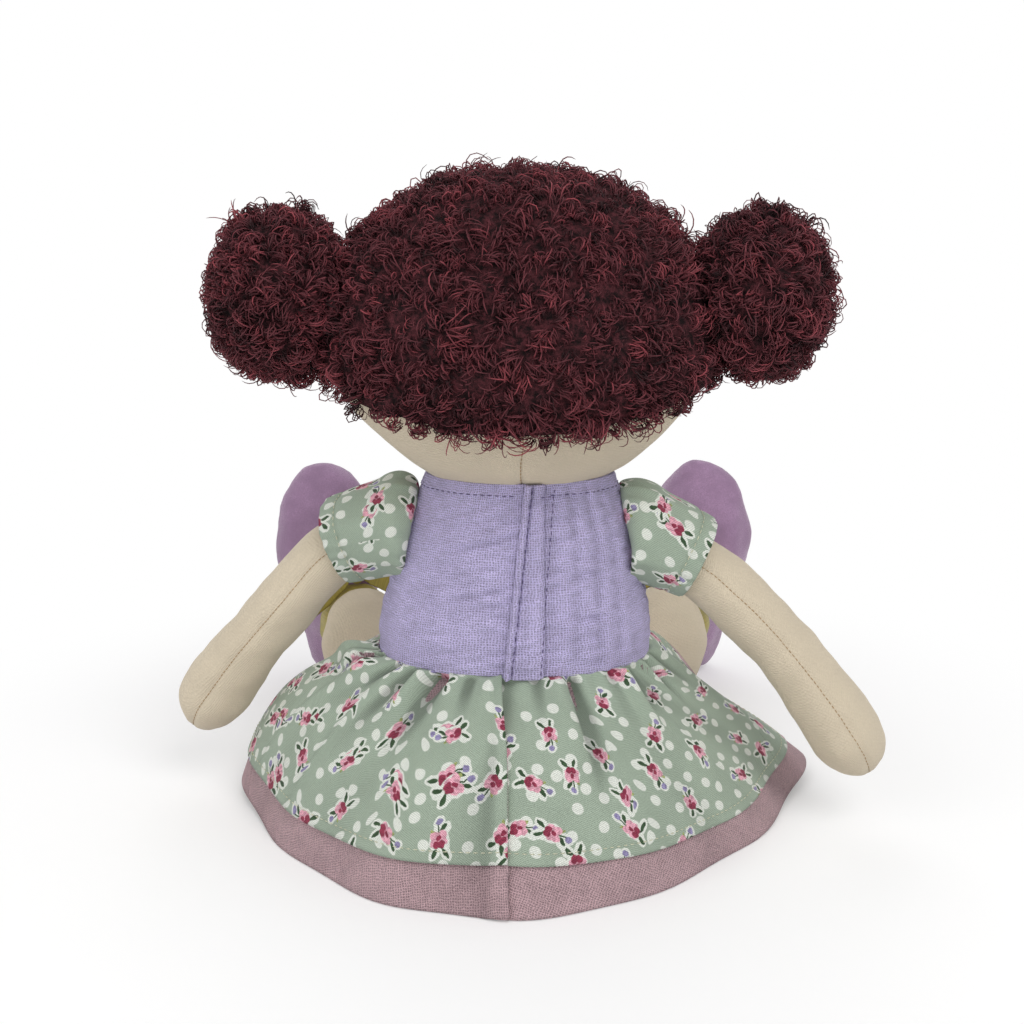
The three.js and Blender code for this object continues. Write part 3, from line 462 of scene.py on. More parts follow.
def fine_line(points, step):
    """Points at even steps along a line."""
    points = np.asarray(points, dtype=float)
    lengths = lengths_along(points)
    count = max(2, int(round(lengths[-1] / step)) + 1)
    return places_at(np.linspace(0, lengths[-1], count), lengths, points)


def capsules(name, starts, ends, radius, material):
    """Short round-ended threads, one from each start to its end."""
    rings, sides = 5, 6
    along = unit(ends - starts)
    side, up = cross_ways(along, np.abs(along[:, 2:3]) < 0.9)
    t = np.linspace(0, 1, rings)
    shape = np.sin(math.pi * np.clip(t, 0.03, 0.97)) ** 0.5 * radius
    turns = full_turn(sides)[None, None, :, None]
    line = starts[:, None] + (ends - starts)[:, None] * t[None, :, None]
    ring = np.cos(turns) * side[:, None, None] + np.sin(turns) * up[:, None, None]
    points = line[:, :, None] + ring * shape[None, :, None, None]
    return add_piece(name, points, tube_faces(len(starts), rings, sides), material)


def tube_faces(count, rings, sides):
    """Quads of many tubes with the same rings and sides."""
    table = closed(np.arange(rings * sides).reshape(rings, sides))
    quads = np.stack([table[:-1, :-1], table[:-1, 1:], table[1:, 1:], table[1:, :-1]], axis=-1)
    firsts = np.arange(count).reshape(-1, 1, 1) * rings * sides
    return (quads.reshape(1, -1, 4) + firsts).reshape(-1, 4)


# How much of the way to the next one a topstitch fills.
STITCH_FILL = 0.62


def topstitches(name, line, material, pitch=None, fill=STITCH_FILL, radius=None):
    """A row of topstitches along a line that lies on the cloth."""
    pitch = sizes().stitch / MM if pitch is None else pitch
    radius = sizes().thread / MM if radius is None else radius
    points = fine_line(line, pitch)
    return capsules(name, points[:-1], mix(points[:-1], points[1:], fill), radius, material)


def stitches(name, line, material, body, **settings):
    """A row of topstitches that moves with a body."""
    row = topstitches(name, line, material, **settings)
    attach(row, body)


def seed(number):
    """Chances that come out the same each run."""
    return np.random.default_rng(number)


# Finishes of the doll's cloths. Patterns on sheets follow the flat cut; stuffed pieces use their own place.
def jersey_finish():
    finish = new_finish("cream_jersey", 0.92)
    place = finish.coordinates()
    axis = finish.axes(place)
    wander = finish.noise(place, 0.012, 2)
    slant = finish.math("MULTIPLY_ADD", wander, 0.0016, finish.math("ADD", axis[0], axis[1]))
    ribs = finish.waves(finish.math("MULTIPLY_ADD", axis[2], 0.55, slant), 0.00105)
    loops = finish.waves(finish.math("SUBTRACT", axis[2], finish.math("MULTIPLY", axis[0], 0.4)), 0.0013)
    knit = finish.math("ADD", finish.math("MULTIPLY", ribs, 0.6), finish.math("MULTIPLY", loops, 0.35))
    fuzz = finish.noise(place, 0.0007, 3, 0.7)
    base = rgb("jersey")
    cloud = finish.noise(place, 0.03, 3)
    soft = finish.between(cloud, 0.35, 0.7, tinted(base, 0.93), tinted(base, 1.03))
    valleys = finish.mix(0.4, soft, tinted(base, 0.80))
    color = finish.between(knit, -0.9, 0.4, valleys, soft)
    finish.color(finish.between(fuzz, 0.3, 0.7, tinted(base, 0.86), color))
    height = finish.math("ADD", finish.math("MULTIPLY", knit, 0.5), fuzz)
    finish.bump(height, 0.00028, 0.75)
    finish.sheen(0.18, 0.5, (1.0, 0.95, 0.88, 1.0))
    return finish.material


def gauze_finish(name, color_name, pitch):
    """Loosely woven cotton: coarse uneven threads cross over and under, with small gaps between."""
    finish = new_finish(name, 0.95)
    cut = finish.coordinates("UV")
    axis = finish.axes(cut)
    wander = finish.noise(cut, 0.0045, 2)
    along = finish.math("MULTIPLY_ADD", wander, 0.0016, axis[1])
    across = finish.math("MULTIPLY_ADD", finish.noise(finish.scaled(cut, 1, 1.4), 0.004, 2), 0.0016, axis[0])
    warp = finish.waves(across, pitch)
    weft = finish.waves(along, pitch * 0.92)
    over = finish.math("MAXIMUM", warp, weft)
    grain = finish.noise(cut, 0.00075, 3, 0.7)
    slub = finish.noise(finish.scaled(cut, 0.45, 1.3), 0.0022, 3, 0.65)
    cloud = finish.noise(cut, 0.012, 3, 0.6)
    base = rgb(color_name)
    soft = finish.between(cloud, 0.3, 0.7, tinted(base, 0.90), tinted(base, 1.05))
    level = finish.math("MULTIPLY_ADD", grain, 3.2, finish.math("MULTIPLY", over, 0.7))
    level = finish.math("ADD", level, slub)
    shade = finish.ramp(level, 1.0, 3.6, 0.52, 1.28)
    # Painted shade down in the gauze's creases, painted light on its ridges.
    finish.color(finish.painted_crease_shade(finish.shaded(soft, shade)))
    finish.bump(level, 0.0004, 0.9)
    finish.sheen(0.12, 0.5, WHITE)
    return finish.material


# One sprig of the print, in millimetres from its middle: each blot is placed, turned and sized.
SPRIG_HALOS = (
    ((-0.3, 0.2), 0.0, (3.6, 3.1)),
    ((-3.9, 1.9), 2.6, (2.6, 1.7)),
    ((-4.0, -1.4), -2.7, (2.4, 1.6)),
    ((3.4, 0.4), 0.1, (3.1, 1.5)),
    ((3.0, 2.2), 0.7, (2.3, 1.4)),
    ((5.2, 0.6), 0.0, (1.8, 1.7)),
)
SPRIG_BLOTS = (
    ("stem", (2.2, 0.0), 0.06, (3.4, 0.26)),
    ("stem", (-2.6, 0.6), 2.7, (2.6, 0.24)),
    ("leaf", (-4.2, 1.9), 2.5, (1.6, 0.68)),
    ("leaf", (-4.2, -1.5), -2.7, (1.5, 0.62)),
    ("leaf", (3.3, 1.6), 0.8, (1.5, 0.6)),
    ("shoot", (2.6, -1.4), -0.6, (1.1, 0.45)),
    ("petal", (0.9, 1.15), 0.3, (1.6, 1.3)),
    ("petal", (1.1, -1.0), -0.6, (1.6, 1.3)),
    ("petal", (-0.7, -1.1), 0.9, (1.6, 1.3)),
    ("petal", (-0.5, 1.2), -0.4, (1.5, 1.3)),
    ("heart", (-1.7, 0.65), 0.4, (1.25, 1.0)),
    ("heart", (-1.6, -0.8), -0.3, (1.2, 0.95)),
    ("heart", (0.3, 0.0), 0.5, (0.9, 0.7)),
    ("bud", (5.2, 0.6), 0.0, (1.05, 1.0)),
)
SPRIG_COLORS = {
    "leaf": (0.235, 0.330, 0.225),
    "stem": (0.290, 0.370, 0.270),
    "shoot": (0.600, 0.640, 0.400),
    "petal": (0.870, 0.640, 0.700),
    "heart": (0.560, 0.215, 0.300),
    "bud": (0.570, 0.540, 0.690),
}
HALO_COLOR = (0.885, 0.900, 0.865)


def sprig_layer(finish, cut, ground, spacing, shift, share):
    """Scatters sprigs over the ground, each in its own cell of the cloth."""
    drawn = finish.wobbled(cut, 0.0019, 0.0013)
    moved = finish.vector("ADD", drawn, (shift, shift * 0.6, 0))
    cells = finish.cells(moved, spacing, 0.36, "2D")
    chance = finish.axes(cells.outputs["Color"])
    away = finish.vector("SUBTRACT", moved, cells.outputs["Position"])
    size = finish.math("MULTIPLY_ADD", chance[2], -240.0, 950.0)
    flat = finish.vector("MULTIPLY", away, (1, 1, 0))
    flat = finish.node("ShaderNodeVectorMath", flat, operation="SCALE")
    finish.put(flat.inputs["Scale"], size)
    turn = finish.math("MULTIPLY", chance[0], 2 * math.pi)
    local = finish.node(
        "ShaderNodeVectorRotate", flat.outputs[0], (0, 0, 0), (0, 0, 1), turn, rotation_type="AXIS_ANGLE"
    ).outputs[0]
    kept = finish.math("LESS_THAN", chance[1], share)

    def blot(place, angle, size, soft):
        seen = finish.placed(local, (*place, 0), angle, (*size, 1))
        length = finish.vector("LENGTH", seen, result="Value")
        return finish.math("MULTIPLY", finish.ramp(length, 1 + soft, 1 - soft), kept)

    halo = 0.0
    for place, angle, size in SPRIG_HALOS:
        halo = finish.math("MAXIMUM", halo, blot(place, angle, size, 0.07))
    strokes = finish.ramp(finish.noise(finish.scaled(drawn, 1.0, 0.35), 0.0009, 2), 0.35, 0.65)
    color = finish.mix(halo, ground, linear(HALO_COLOR))
    for kind, place, angle, size in SPRIG_BLOTS:
        paint = linear(SPRIG_COLORS[kind])
        stroke = finish.mix(strokes, tinted(paint, 0.78), tinted(paint, 1.25))
        color = finish.mix(blot(place, angle, size, 0.14), color, stroke)
    return color


def print_finish():
    """Sage cotton printed with small sprigs and plain dots."""
    finish = new_finish("sage_print", 0.9)
    cut = finish.coordinates("UV")
    axis = finish.axes(cut)
    base = rgb("sage")
    mottled = finish.noise(cut, 0.02, 3)
    ground = finish.between(mottled, 0.3, 0.7, tinted(base, 0.95), tinted(base, 1.04))
    spacing = sizes().sprig
    dot_pitch = sizes().dot_spacing
    moved = finish.vector("ADD", finish.wobbled(cut, 0.004, 0.0004), (0.31, 0.17, 0))
    dot_cells = finish.cells(moved, dot_pitch, 0.45, "2D")
    dot_chance = finish.axes(dot_cells.outputs["Color"])
    dot_size = sizes().dot / dot_pitch
    disc = finish.ramp(dot_cells.outputs["Distance"], dot_size * 1.1, dot_size * 0.9)
    dots = finish.math("MULTIPLY", disc, finish.math("LESS_THAN", dot_chance[2], 0.88))
    dotted = finish.mix(dots, ground, linear(HALO_COLOR))
    color = sprig_layer(finish, cut, dotted, spacing, 0.0, 0.95)
    color = sprig_layer(finish, cut, color, spacing * 1.1, 0.0071, 0.42)
    # A fine twill with pale flecks where the warp shows.
    twill = finish.waves(finish.math("ADD", axis[0], axis[1]), 0.00095)
    cross = finish.waves(finish.math("SUBTRACT", axis[0], axis[1]), 0.0008)
    weave = finish.math("MULTIPLY_ADD", cross, 0.6, twill)
    fibre = finish.noise(cut, 0.0008, 3, 0.75)
    shade = finish.ramp(finish.math("MULTIPLY_ADD", fibre, 3.2, weave), -0.2, 3.4, 0.74, 1.16)
    # Painted shade down in the print's creases, painted light on its ridges.
    finish.color(finish.painted_crease_shade(finish.shaded(color, shade)))
    finish.bump(finish.math("MULTIPLY_ADD", fibre, 1.5, finish.math("MULTIPLY", weave, 0.5)), 0.0002, 0.7)
    finish.sheen(0.1, 0.5, WHITE)
    return finish.material


def hair_finish():
    """Dyed pile: each fibre has its own tone, with painted shade at its root and a painted highlight along
    its curl, kept in the attribute named shade.
    """
    finish = new_finish("burgundy_pile", 0.58)
    shade = finish.node("ShaderNodeAttribute", attribute_name="shade").outputs["Fac"]
    place = finish.coordinates()
    patches = finish.noise(place, 0.016, 3)
    wanted = finish.math("MULTIPLY_ADD", patches, 0.5, finish.math("SUBTRACT", shade, 0.25))
    # Darker tone and painted shade down in the pile, rising to the hair's own colour.
    deep = finish.between(wanted, 0.0, 0.55, rgb("hair_dark_and_shaded"), rgb("hair"))
    finish.color(finish.between(wanted, 0.55, 1.1, deep, rgb("hair_light")))
    finish.bump(finish.noise(place, 0.0006, 2), 0.0001, 0.5)
    finish.sheen(0.06, 0.4, (1.0, 0.5, 0.55, 1.0))
    return finish.material


def backing_finish():
    finish = new_finish("pile_backing", 0.95)
    place = finish.coordinates()
    tufts = finish.noise(place, 0.003, 4, 0.7)
    # Painted shade: the backing is far darker than the pile and stands for the shade between the locks,
    # broken into tufts by noise.
    dark, light = tinted(rgb("hair_dark_and_shaded"), 0.45), tinted(rgb("hair"), 0.8)
    finish.color(finish.between(tufts, 0.35, 0.7, dark, light))
    finish.bump(tufts, 0.003, 1.0)
    return finish.material


def velour_finish():
    """Short pile that lies in soft patches and looks lighter where it turns away."""
    finish = new_finish("mauve_velour", 0.85)
    place = finish.coordinates()
    base = rgb("velour")
    patches = finish.noise(place, 0.014, 4, 0.6)
    pile = finish.noise(place, 0.0007, 3, 0.8)
    nap = finish.between(patches, 0.32, 0.68, tinted(base, 0.78), tinted(base, 1.12))
    finish.color(finish.between(pile, 0.25, 0.75, tinted(base, 0.72), nap))
    finish.bump(finish.math("MULTIPLY_ADD", patches, 1.5, pile), 0.0006, 0.7)
    finish.sheen(0.7, 0.35, (1.0, 0.9, 1.0, 1.0))
    return finish.material


def ribbon_finish():
    finish = new_finish("mustard_ribbon", 0.42)
    cut = finish.coordinates("UV")
    axis = finish.axes(cut)
    base = rgb("ribbon")
    ribs = finish.waves(axis[0], 0.0007)
    streak = finish.noise(finish.scaled(cut, 1.0, 0.06), 0.0009, 2)
    from_middle = finish.math("ABSOLUTE", axis[1])
    satin = finish.between(streak, 0.3, 0.7, tinted(base, 0.86), tinted(base, 1.12))
    finish.color(finish.between(from_middle, 0.0038, 0.0046, satin, tinted(base, 0.7)))
    finish.bump(finish.math("MULTIPLY_ADD", ribs, 0.4, streak), 0.0002, 0.6)
    finish.shader.inputs["Specular IOR Level"].default_value = 0.5
    return finish.material


def thread_finish(name, color_name):
    """Twisted cotton thread."""
    finish = new_finish(name, 0.7)
    place = finish.coordinates()
    axis = finish.axes(place)
    twist = finish.waves(finish.math("ADD", finish.math("ADD", axis[0], axis[1]), axis[2]), 0.0006)
    base = rgb(color_name)
    finish.color(finish.between(twist, -0.7, 0.5, tinted(base, 0.75), tinted(base, 1.1)))
    finish.bump(twist, 0.00012, 0.6)
    return finish.material


TAPE_COLOR = (0.800, 0.770, 0.850)


def tape_finish(name, fuzz_pitch):
    """Hook and loop tape: a woven base under dense hooks or loops."""
    finish = new_finish(name, 0.8)
    place = finish.coordinates()
    fuzz = finish.cells(place, fuzz_pitch).outputs["Distance"]
    cloud = finish.noise(place, 0.0035, 3)
    pale = linear(TAPE_COLOR)
    color = finish.between(fuzz, 0.2, 0.7, tinted(pale, 0.7), pale)
    finish.color(finish.between(cloud, 0.3, 0.7, color, tinted(pale, 0.9)))
    finish.bump(fuzz, 0.0004, 0.9)
    return finish.material


# The function that makes each finish, and what it is given: names and the pitch of threads or loops.
FINISHES = {
    "jersey": (jersey_finish,),
    "gauze": (gauze_finish, "lilac_gauze", "gauze", 0.00096),
    "pink_gauze": (gauze_finish, "pink_gauze", "underskirt", 0.00098),
    "print": (print_finish,),
    "hair": (hair_finish,),
    "backing": (backing_finish,),
    "velour": (velour_finish,),
    "ribbon": (ribbon_finish,),
    "bodice_thread": (thread_finish, "bodice_thread", "bodice_thread"),
    "hem_thread": (thread_finish, "hem_thread", "hem_thread"),
    "seam_thread": (thread_finish, "seam_thread", "seam_thread"),
    "eye_thread": (thread_finish, "eye_thread", "eye"),
    "lip_thread": (thread_finish, "lip_thread", "lips"),
    "loop_tape": (tape_finish, "loop_tape_face", 0.0005),
    "hook_tape": (tape_finish, "hook_tape_face", 0.0009),
}
made_finishes = {}


def finish_of(kind):
    """The finish of one kind, made the first time that a piece asks for it."""
    if kind not in made_finishes:
        maker, *values = FINISHES[kind]
        made_finishes[kind] = maker(*values)
    return made_finishes[kind]


# What each sheet measures laid flat, in metres: its length by its width.
SKIRT_FLAT = (0.66, 0.085)
UNDERSKIRT_FLAT = (0.68, 0.105)
BAND_FLAT = (0.119, 0.01)
BOW_FLAT = (0.165, 0.01)

# The dress's cut: shared by its sheets. The turn runs round the body from the middle of the back,
# the doll's left first; the fall runs down the skirt from 0 at the waist to 1 at the lowest hem.
FLOOR = 0.0
WAIST_HEIGHT = 74.0
NECKLINE_HEIGHT = 146.5
SHOULDER_HEIGHT = 123.0
SHOULDER_OUT = 43.0
ARMHOLE_HALF_HEIGHT = 15.8
ARMHOLE_HALF_DEPTH = 9.5
ARMHOLE_FROM_MIDDLE = 22.0
half_width = through([(0, 48), (30, 50), (74, 49), (108, 46), (124, 43), (143, 35), (146.5, 33)])
# The dress stands off the body most on the doll's left, above the waist.
left_ease = through([(74, 4.5), (92, 3.8), (110, 1.6), (123, 0.8), (146.5, 0)])
half_depth = through([(30, 31.5), (74, 31.5), (108, 28.3), (143, 21), (146.5, 20.6)])
slit_turn = through([(0, math.radians(10)), (0.35, math.radians(4.4)), (1, math.radians(1.4))])
PRINT_SHARE = 0.8
HEM_BACK = 85.0
HEM_SIDE = 124.0
HEM_FRONT = 122.0
HEM_SIDE_FORWARD = 50.0
HEM_DRIFT = 9.0
HEM_NARROWING = 0.74
FRONT_HEM_HEIGHT = 47.3
# How far the dress's outer face lies out from the torso, and its mean radius and the skirt's.
DRESS_OUT = 2.3
BODICE_RADIUS = 42
SKIRT_RADIUS = 60
# The radius of the ring that the skirt was cut from, at its waist.
CONE_RADIUS = 70.0
hem_rise = through([(0.85, 0), (1.4, 0.12), (1.8, 0.2), (2.1, 0.5), (2.35, 0.9), (2.6, 1)])


def hem_point(turn):
    """A point of the underskirt's hem: it lies on the floor behind, and over the thighs in front."""
    across, back = np.sin(turn), np.cos(turn)
    ahead = np.arccos(back)
    reach = mix(HEM_BACK, HEM_FRONT, np.maximum(0, -back) ** 2)
    width = HEM_SIDE * mix(1, HEM_NARROWING, smoothstep(ahead, 1.5, 2.4))
    x = width * across + HEM_DRIFT * (np.maximum(0, back) - 1 / 3)
    y = reach * back - HEM_SIDE_FORWARD * across**2
    return np.stack([x, y, mix(0.6, FRONT_HEM_HEIGHT, hem_rise(ahead))], axis=-1)


def body_point(turn, height, out):
    """A point of the dress's body, a way out from the torso's outline."""
    wide, deep = half_width(height) + out, half_depth(height) + out
    wide = wide + left_ease(height) * np.maximum(0, np.sin(turn))
    return np.stack([wide * np.sin(turn), deep * np.cos(turn), height + 0 * turn], axis=-1)


def waist_point(turn):
    return body_point(turn, WAIST_HEIGHT, DRESS_OUT)


def fold_wave(turn):
    return np.cos(14 * turn + 0.8) + 0.45 * np.cos(9 * turn + 2)


class Gathers:
    """Creases that run down from a gathered seam, each with its own place, length and depth."""

    def __init__(self, count, number, length, depth, width):
        chance = seed(number)
        self.turns = (np.arange(count) + chance.uniform(-0.45, 0.45, count)) * 2 * math.pi / count
        self.lengths = chance.uniform(*length, count)
        self.depths = chance.uniform(*depth, count)
        self.widths = chance.uniform(*width, count) / SKIRT_RADIUS
        self.leans = chance.uniform(-0.1, 0.1, count)

    def at(self, turn, fall):
        total = np.zeros_like(turn)
        creases = zip(self.turns, self.lengths, self.depths, self.widths, self.leans)
        for place, length, depth, width, lean in creases:
            away = within_half_turn(turn - place - lean * fall)
            spread = width * (1 + 1.2 * fall)
            deep = depth * bell(fall, length)
            # A low ridge stands on both sides of each crease.
            total += deep * (0.45 * bell(np.abs(away) - 2.2 * spread, spread) - bell(away, spread))
        return total


WAIST_GATHERS = Gathers(22, 5, (0.14, 0.42), (1.4, 3.2), (2.0, 4.2))
LONG_FOLDS = Gathers(11, 8, (0.5, 0.8), (1.2, 2.8), (4.0, 8.0))
# Deep pleats: turn in degrees, length down the fall, depth and half width in millimetres.
PLEATS = (
    (36, 0.24, 5.6, 3.6),
    (58, 0.16, 3.6, 2.6),
    (74, 0.22, 6.0, 3.4),
    (9, 0.12, 2.4, 2.4),
    (-22, 0.52, 4.6, 4.2),
    (-50, 0.30, 4.4, 3.2),
    (-68, 0.22, 4.4, 3.0),
)
HEM_FOLD = 1.3
WAIST_PUFF = 5.0
WAIST_PUFF_TURN = math.radians(80)


def pleats(turn, fall):
    total = np.zeros_like(turn)
    for place, length, depth, width in PLEATS:
        away = within_half_turn(turn - math.radians(place)) * SKIRT_RADIUS
        spread = width * (1 + 1.5 * fall)
        # One side of a pleat folds over steeply and the other opens out.
        wall = np.where(away > 0, 0.34, 1.25) * spread
        ridge = 0.5 * bell(away - 1.15 * spread, 0.8 * spread)
        total += depth * bell(fall, length) * (ridge - bell(away, wall))
    return total


def skirt_point(turn, fall, layer):
    """A point of the skirt's outer face, or of the layer that hangs a little inside it."""
    waist, hem = waist_point(turn), hem_point(turn)
    outwards = np.stack([np.sin(turn), np.cos(turn), np.zeros_like(turn)], axis=-1)
    side, front = np.sin(turn) ** 2, np.maximum(0, -np.cos(turn))
    side_swell = mix(-4, 5.5, (1 + np.sin(turn)) / 2) * side
    swell = np.stack([side_swell, np.full_like(turn, 6.0), 6 * (1 - front) + side_swell], axis=-1)
    low = fall**1.2
    bulge = (4 * low * (1 - low))[..., None]
    point = mix(waist, hem, fall[..., None])
    point += outwards * swell * bulge * [1, 1, 0] + swell * bulge * [0, 0, 1]
    fold = HEM_FOLD * fold_wave(turn) * low
    creases = WAIST_GATHERS.at(turn, fall) + pleats(turn, fall) + LONG_FOLDS.at(turn, fall)
    creases *= np.minimum(1, fall / 0.025)
    puff = WAIST_PUFF * bell(within_half_turn(turn - WAIST_PUFF_TURN), 0.38) * bell(fall - 0.12, 0.09)
    push = fold + creases * (1 - 0.75 * layer) + puff
    point += outwards * (push * 0.8)[..., None]
    point[..., 2] += (push * 0.6 + puff * 0.5) * (1 - fall)
    return point


def skirt_grid(turns, falls, depth, layer, longer_sides):
    """The points of one layer of the skirt, which lies a depth below the outermost face."""
    turn, fall = np.meshgrid(turns, falls)
    turn = turn + slit_turn(fall)
    fall = fall * (1 + longer_sides * np.abs(np.sin(turn)))
    grid = skirt_point(turn, fall, layer)
    normals = grid_normals(grid)
    normals *= np.sign((normals * np.stack([np.sin(turn), np.cos(turn), 0.6 + 0 * turn], axis=-1)).sum())
    # The layer inside lies a constant depth below the outer one, also where the normals bunch up.
    grid = grid - normals * depth
    grid[..., 2] = np.maximum(grid[..., 2], FLOOR + 0.35)
    return grid


def cone_cut(grid):
    """Where each point lay in the cloth before it was sewn: the skirt opened out as part of a ring."""
    reach = CONE_RADIUS + lengths_along(grid)
    across = np.linalg.norm(np.diff(grid, axis=1), axis=-1) / reach[:, 1:]
    angle = np.append(0, np.cumsum(across.mean(axis=0)))[None, :]
    return np.stack([reach * np.cos(angle), reach * np.sin(angle)], axis=-1)


# The stage: a pale floor, soft light and the photograph's view.
LAMPS_AIM = Vector((0, 0.03, 0.12))


class DOLL_OT_stage(bpy.types.Operator):
    """Add the floor, the soft studio lights and the camera"""

    bl_idname = "doll.stage"
    bl_label = "Stage"

    camera_height: FloatProperty(name="Camera height", default=0.281, unit="LENGTH")
    camera_back: FloatProperty(name="Camera distance behind the doll", default=0.573, unit="LENGTH")
    camera_pitch: FloatProperty(name="Camera pitch", default=math.radians(14.8), subtype="ANGLE")
    lens: FloatProperty(name="Lens", default=53.44, unit="CAMERA")
    shift: FloatProperty(name="Sideways shift", description="As a share of the picture", default=-1 / 128)
    shadow_reach: FloatProperty(name="Reach of the floor's shadow", default=0.34, unit="LENGTH")

    def execute(self, context):
        scene = context.scene
        scene.view_settings.view_transform = "Standard"
        self.add_floor()
        self.add_lights(scene)
        camera = bpy.data.cameras.new("camera")
        camera.lens = self.lens
        camera.shift_x = self.shift
        view = bpy.data.objects.new("camera", camera)
        view.location = Vector(MIDDLE) + Vector((0, self.camera_back, self.camera_height))
        view.rotation_euler = (math.pi / 2 - self.camera_pitch, 0, math.pi)
        scene.collection.objects.link(view)
        scene.camera = view
        return {"FINISHED"}

    def add_floor(self):
        finish = new_finish("white_floor", 1.0)
        finish.color((0.8, 0.8, 0.8, 1.0))
        rays = finish.node("ShaderNodeLightPath").outputs
        seen = finish.math("MAXIMUM", rays["Is Camera Ray"], rays["Is Glossy Ray"])
        seen = finish.math("MAXIMUM", seen, rays["Is Transmission Ray"])
        finish.shader.inputs["Specular IOR Level"].default_value = 0.0
        glow = finish.node("ShaderNodeEmission", WHITE, 0.22)
        both = finish.node("ShaderNodeAddShader", finish.shader.outputs[0], glow.outputs[0])
        # Well clear of the doll's shadow the floor fades into the white behind it.
        white = finish.node("ShaderNodeEmission", WHITE, 1.0)
        away = finish.vector("DISTANCE", finish.coordinates(), tuple(MIDDLE), result="Value")
        far = finish.ramp(away, self.shadow_reach * 0.5, self.shadow_reach)
        fading = finish.node("ShaderNodeMixShader", far, both.outputs[0], white.outputs[0])
        choice = finish.node("ShaderNodeMixShader", seen, finish.shader.outputs[0], fading.outputs[0])
        output = finish.tree.nodes["Material Output"]
        finish.tree.links.new(choice.outputs[0], output.inputs["Surface"])
        bpy.ops.mesh.primitive_plane_add(size=8, location=(0, 0, 0))
        floor = bpy.context.object
        floor.name = "floor"
        floor.data.materials.append(finish.material)

    def add_lights(self, scene):
        world = bpy.data.worlds.new("studio")
        scene.world = world
        world.use_nodes = True
        nodes, links = world.node_tree.nodes, world.node_tree.links
        background = nodes["Background"]
        background.inputs["Color"].default_value = WHITE
        background.inputs["Strength"].default_value = 0.62
        seen = nodes.new("ShaderNodeBackground")
        seen.inputs["Color"].default_value = WHITE
        rays = nodes.new("ShaderNodeLightPath")
        direct = nodes.new("ShaderNodeMath")
        direct.operation = "MAXIMUM"
        links.new(rays.outputs["Is Camera Ray"], direct.inputs[0])
        links.new(rays.outputs["Is Transmission Ray"], direct.inputs[1])
        choice = nodes.new("ShaderNodeMixShader")
        links.new(direct.outputs[0], choice.inputs["Fac"])
        links.new(background.outputs[0], choice.inputs[1])
        links.new(seen.outputs[0], choice.inputs[2])
        links.new(choice.outputs[0], nodes["World Output"].inputs["Surface"])
        # Each lamp's place and size in metres, and its power in watts.
        lamps = (
            ("key_light", (-0.55, 1.05, 1.25), 0.9, 9.5),
            ("fill_light", (1.0, 0.9, 0.7), 1.2, 4.0),
            ("front_light", (0.2, -1.2, 1.0), 1.2, 4.5),
        )
        for name, place, size, power in lamps:
            lamp = bpy.data.lights.new(name, "AREA")
            lamp.energy = power
            lamp.size = size
            light = bpy.data.objects.new(name, lamp)
            light.location = place
            aim = LAMPS_AIM - light.location
            light.rotation_euler = aim.to_track_quat("-Z", "Y").to_euler()
            scene.collection.objects.link(light)


# A corner of the skirt lies over each thigh. The planes behind the two corners meet in front of the
# doll, at this y, and this reach runs from there along each corner.
CORNER_START = -125.0
CORNER_REACH = 56.0
HEM_ABOVE_FLOOR = 0.5


def skirt_parts(points):
    """Which places of the skirt are part of the corner on each side, and, under None, of the rest."""
    parts = {side: sign * points[..., 0] > points[..., 1] - CORNER_START for side, sign in SIDES.items()}
    parts[None] = ~(parts["left"] | parts["right"])
    return parts


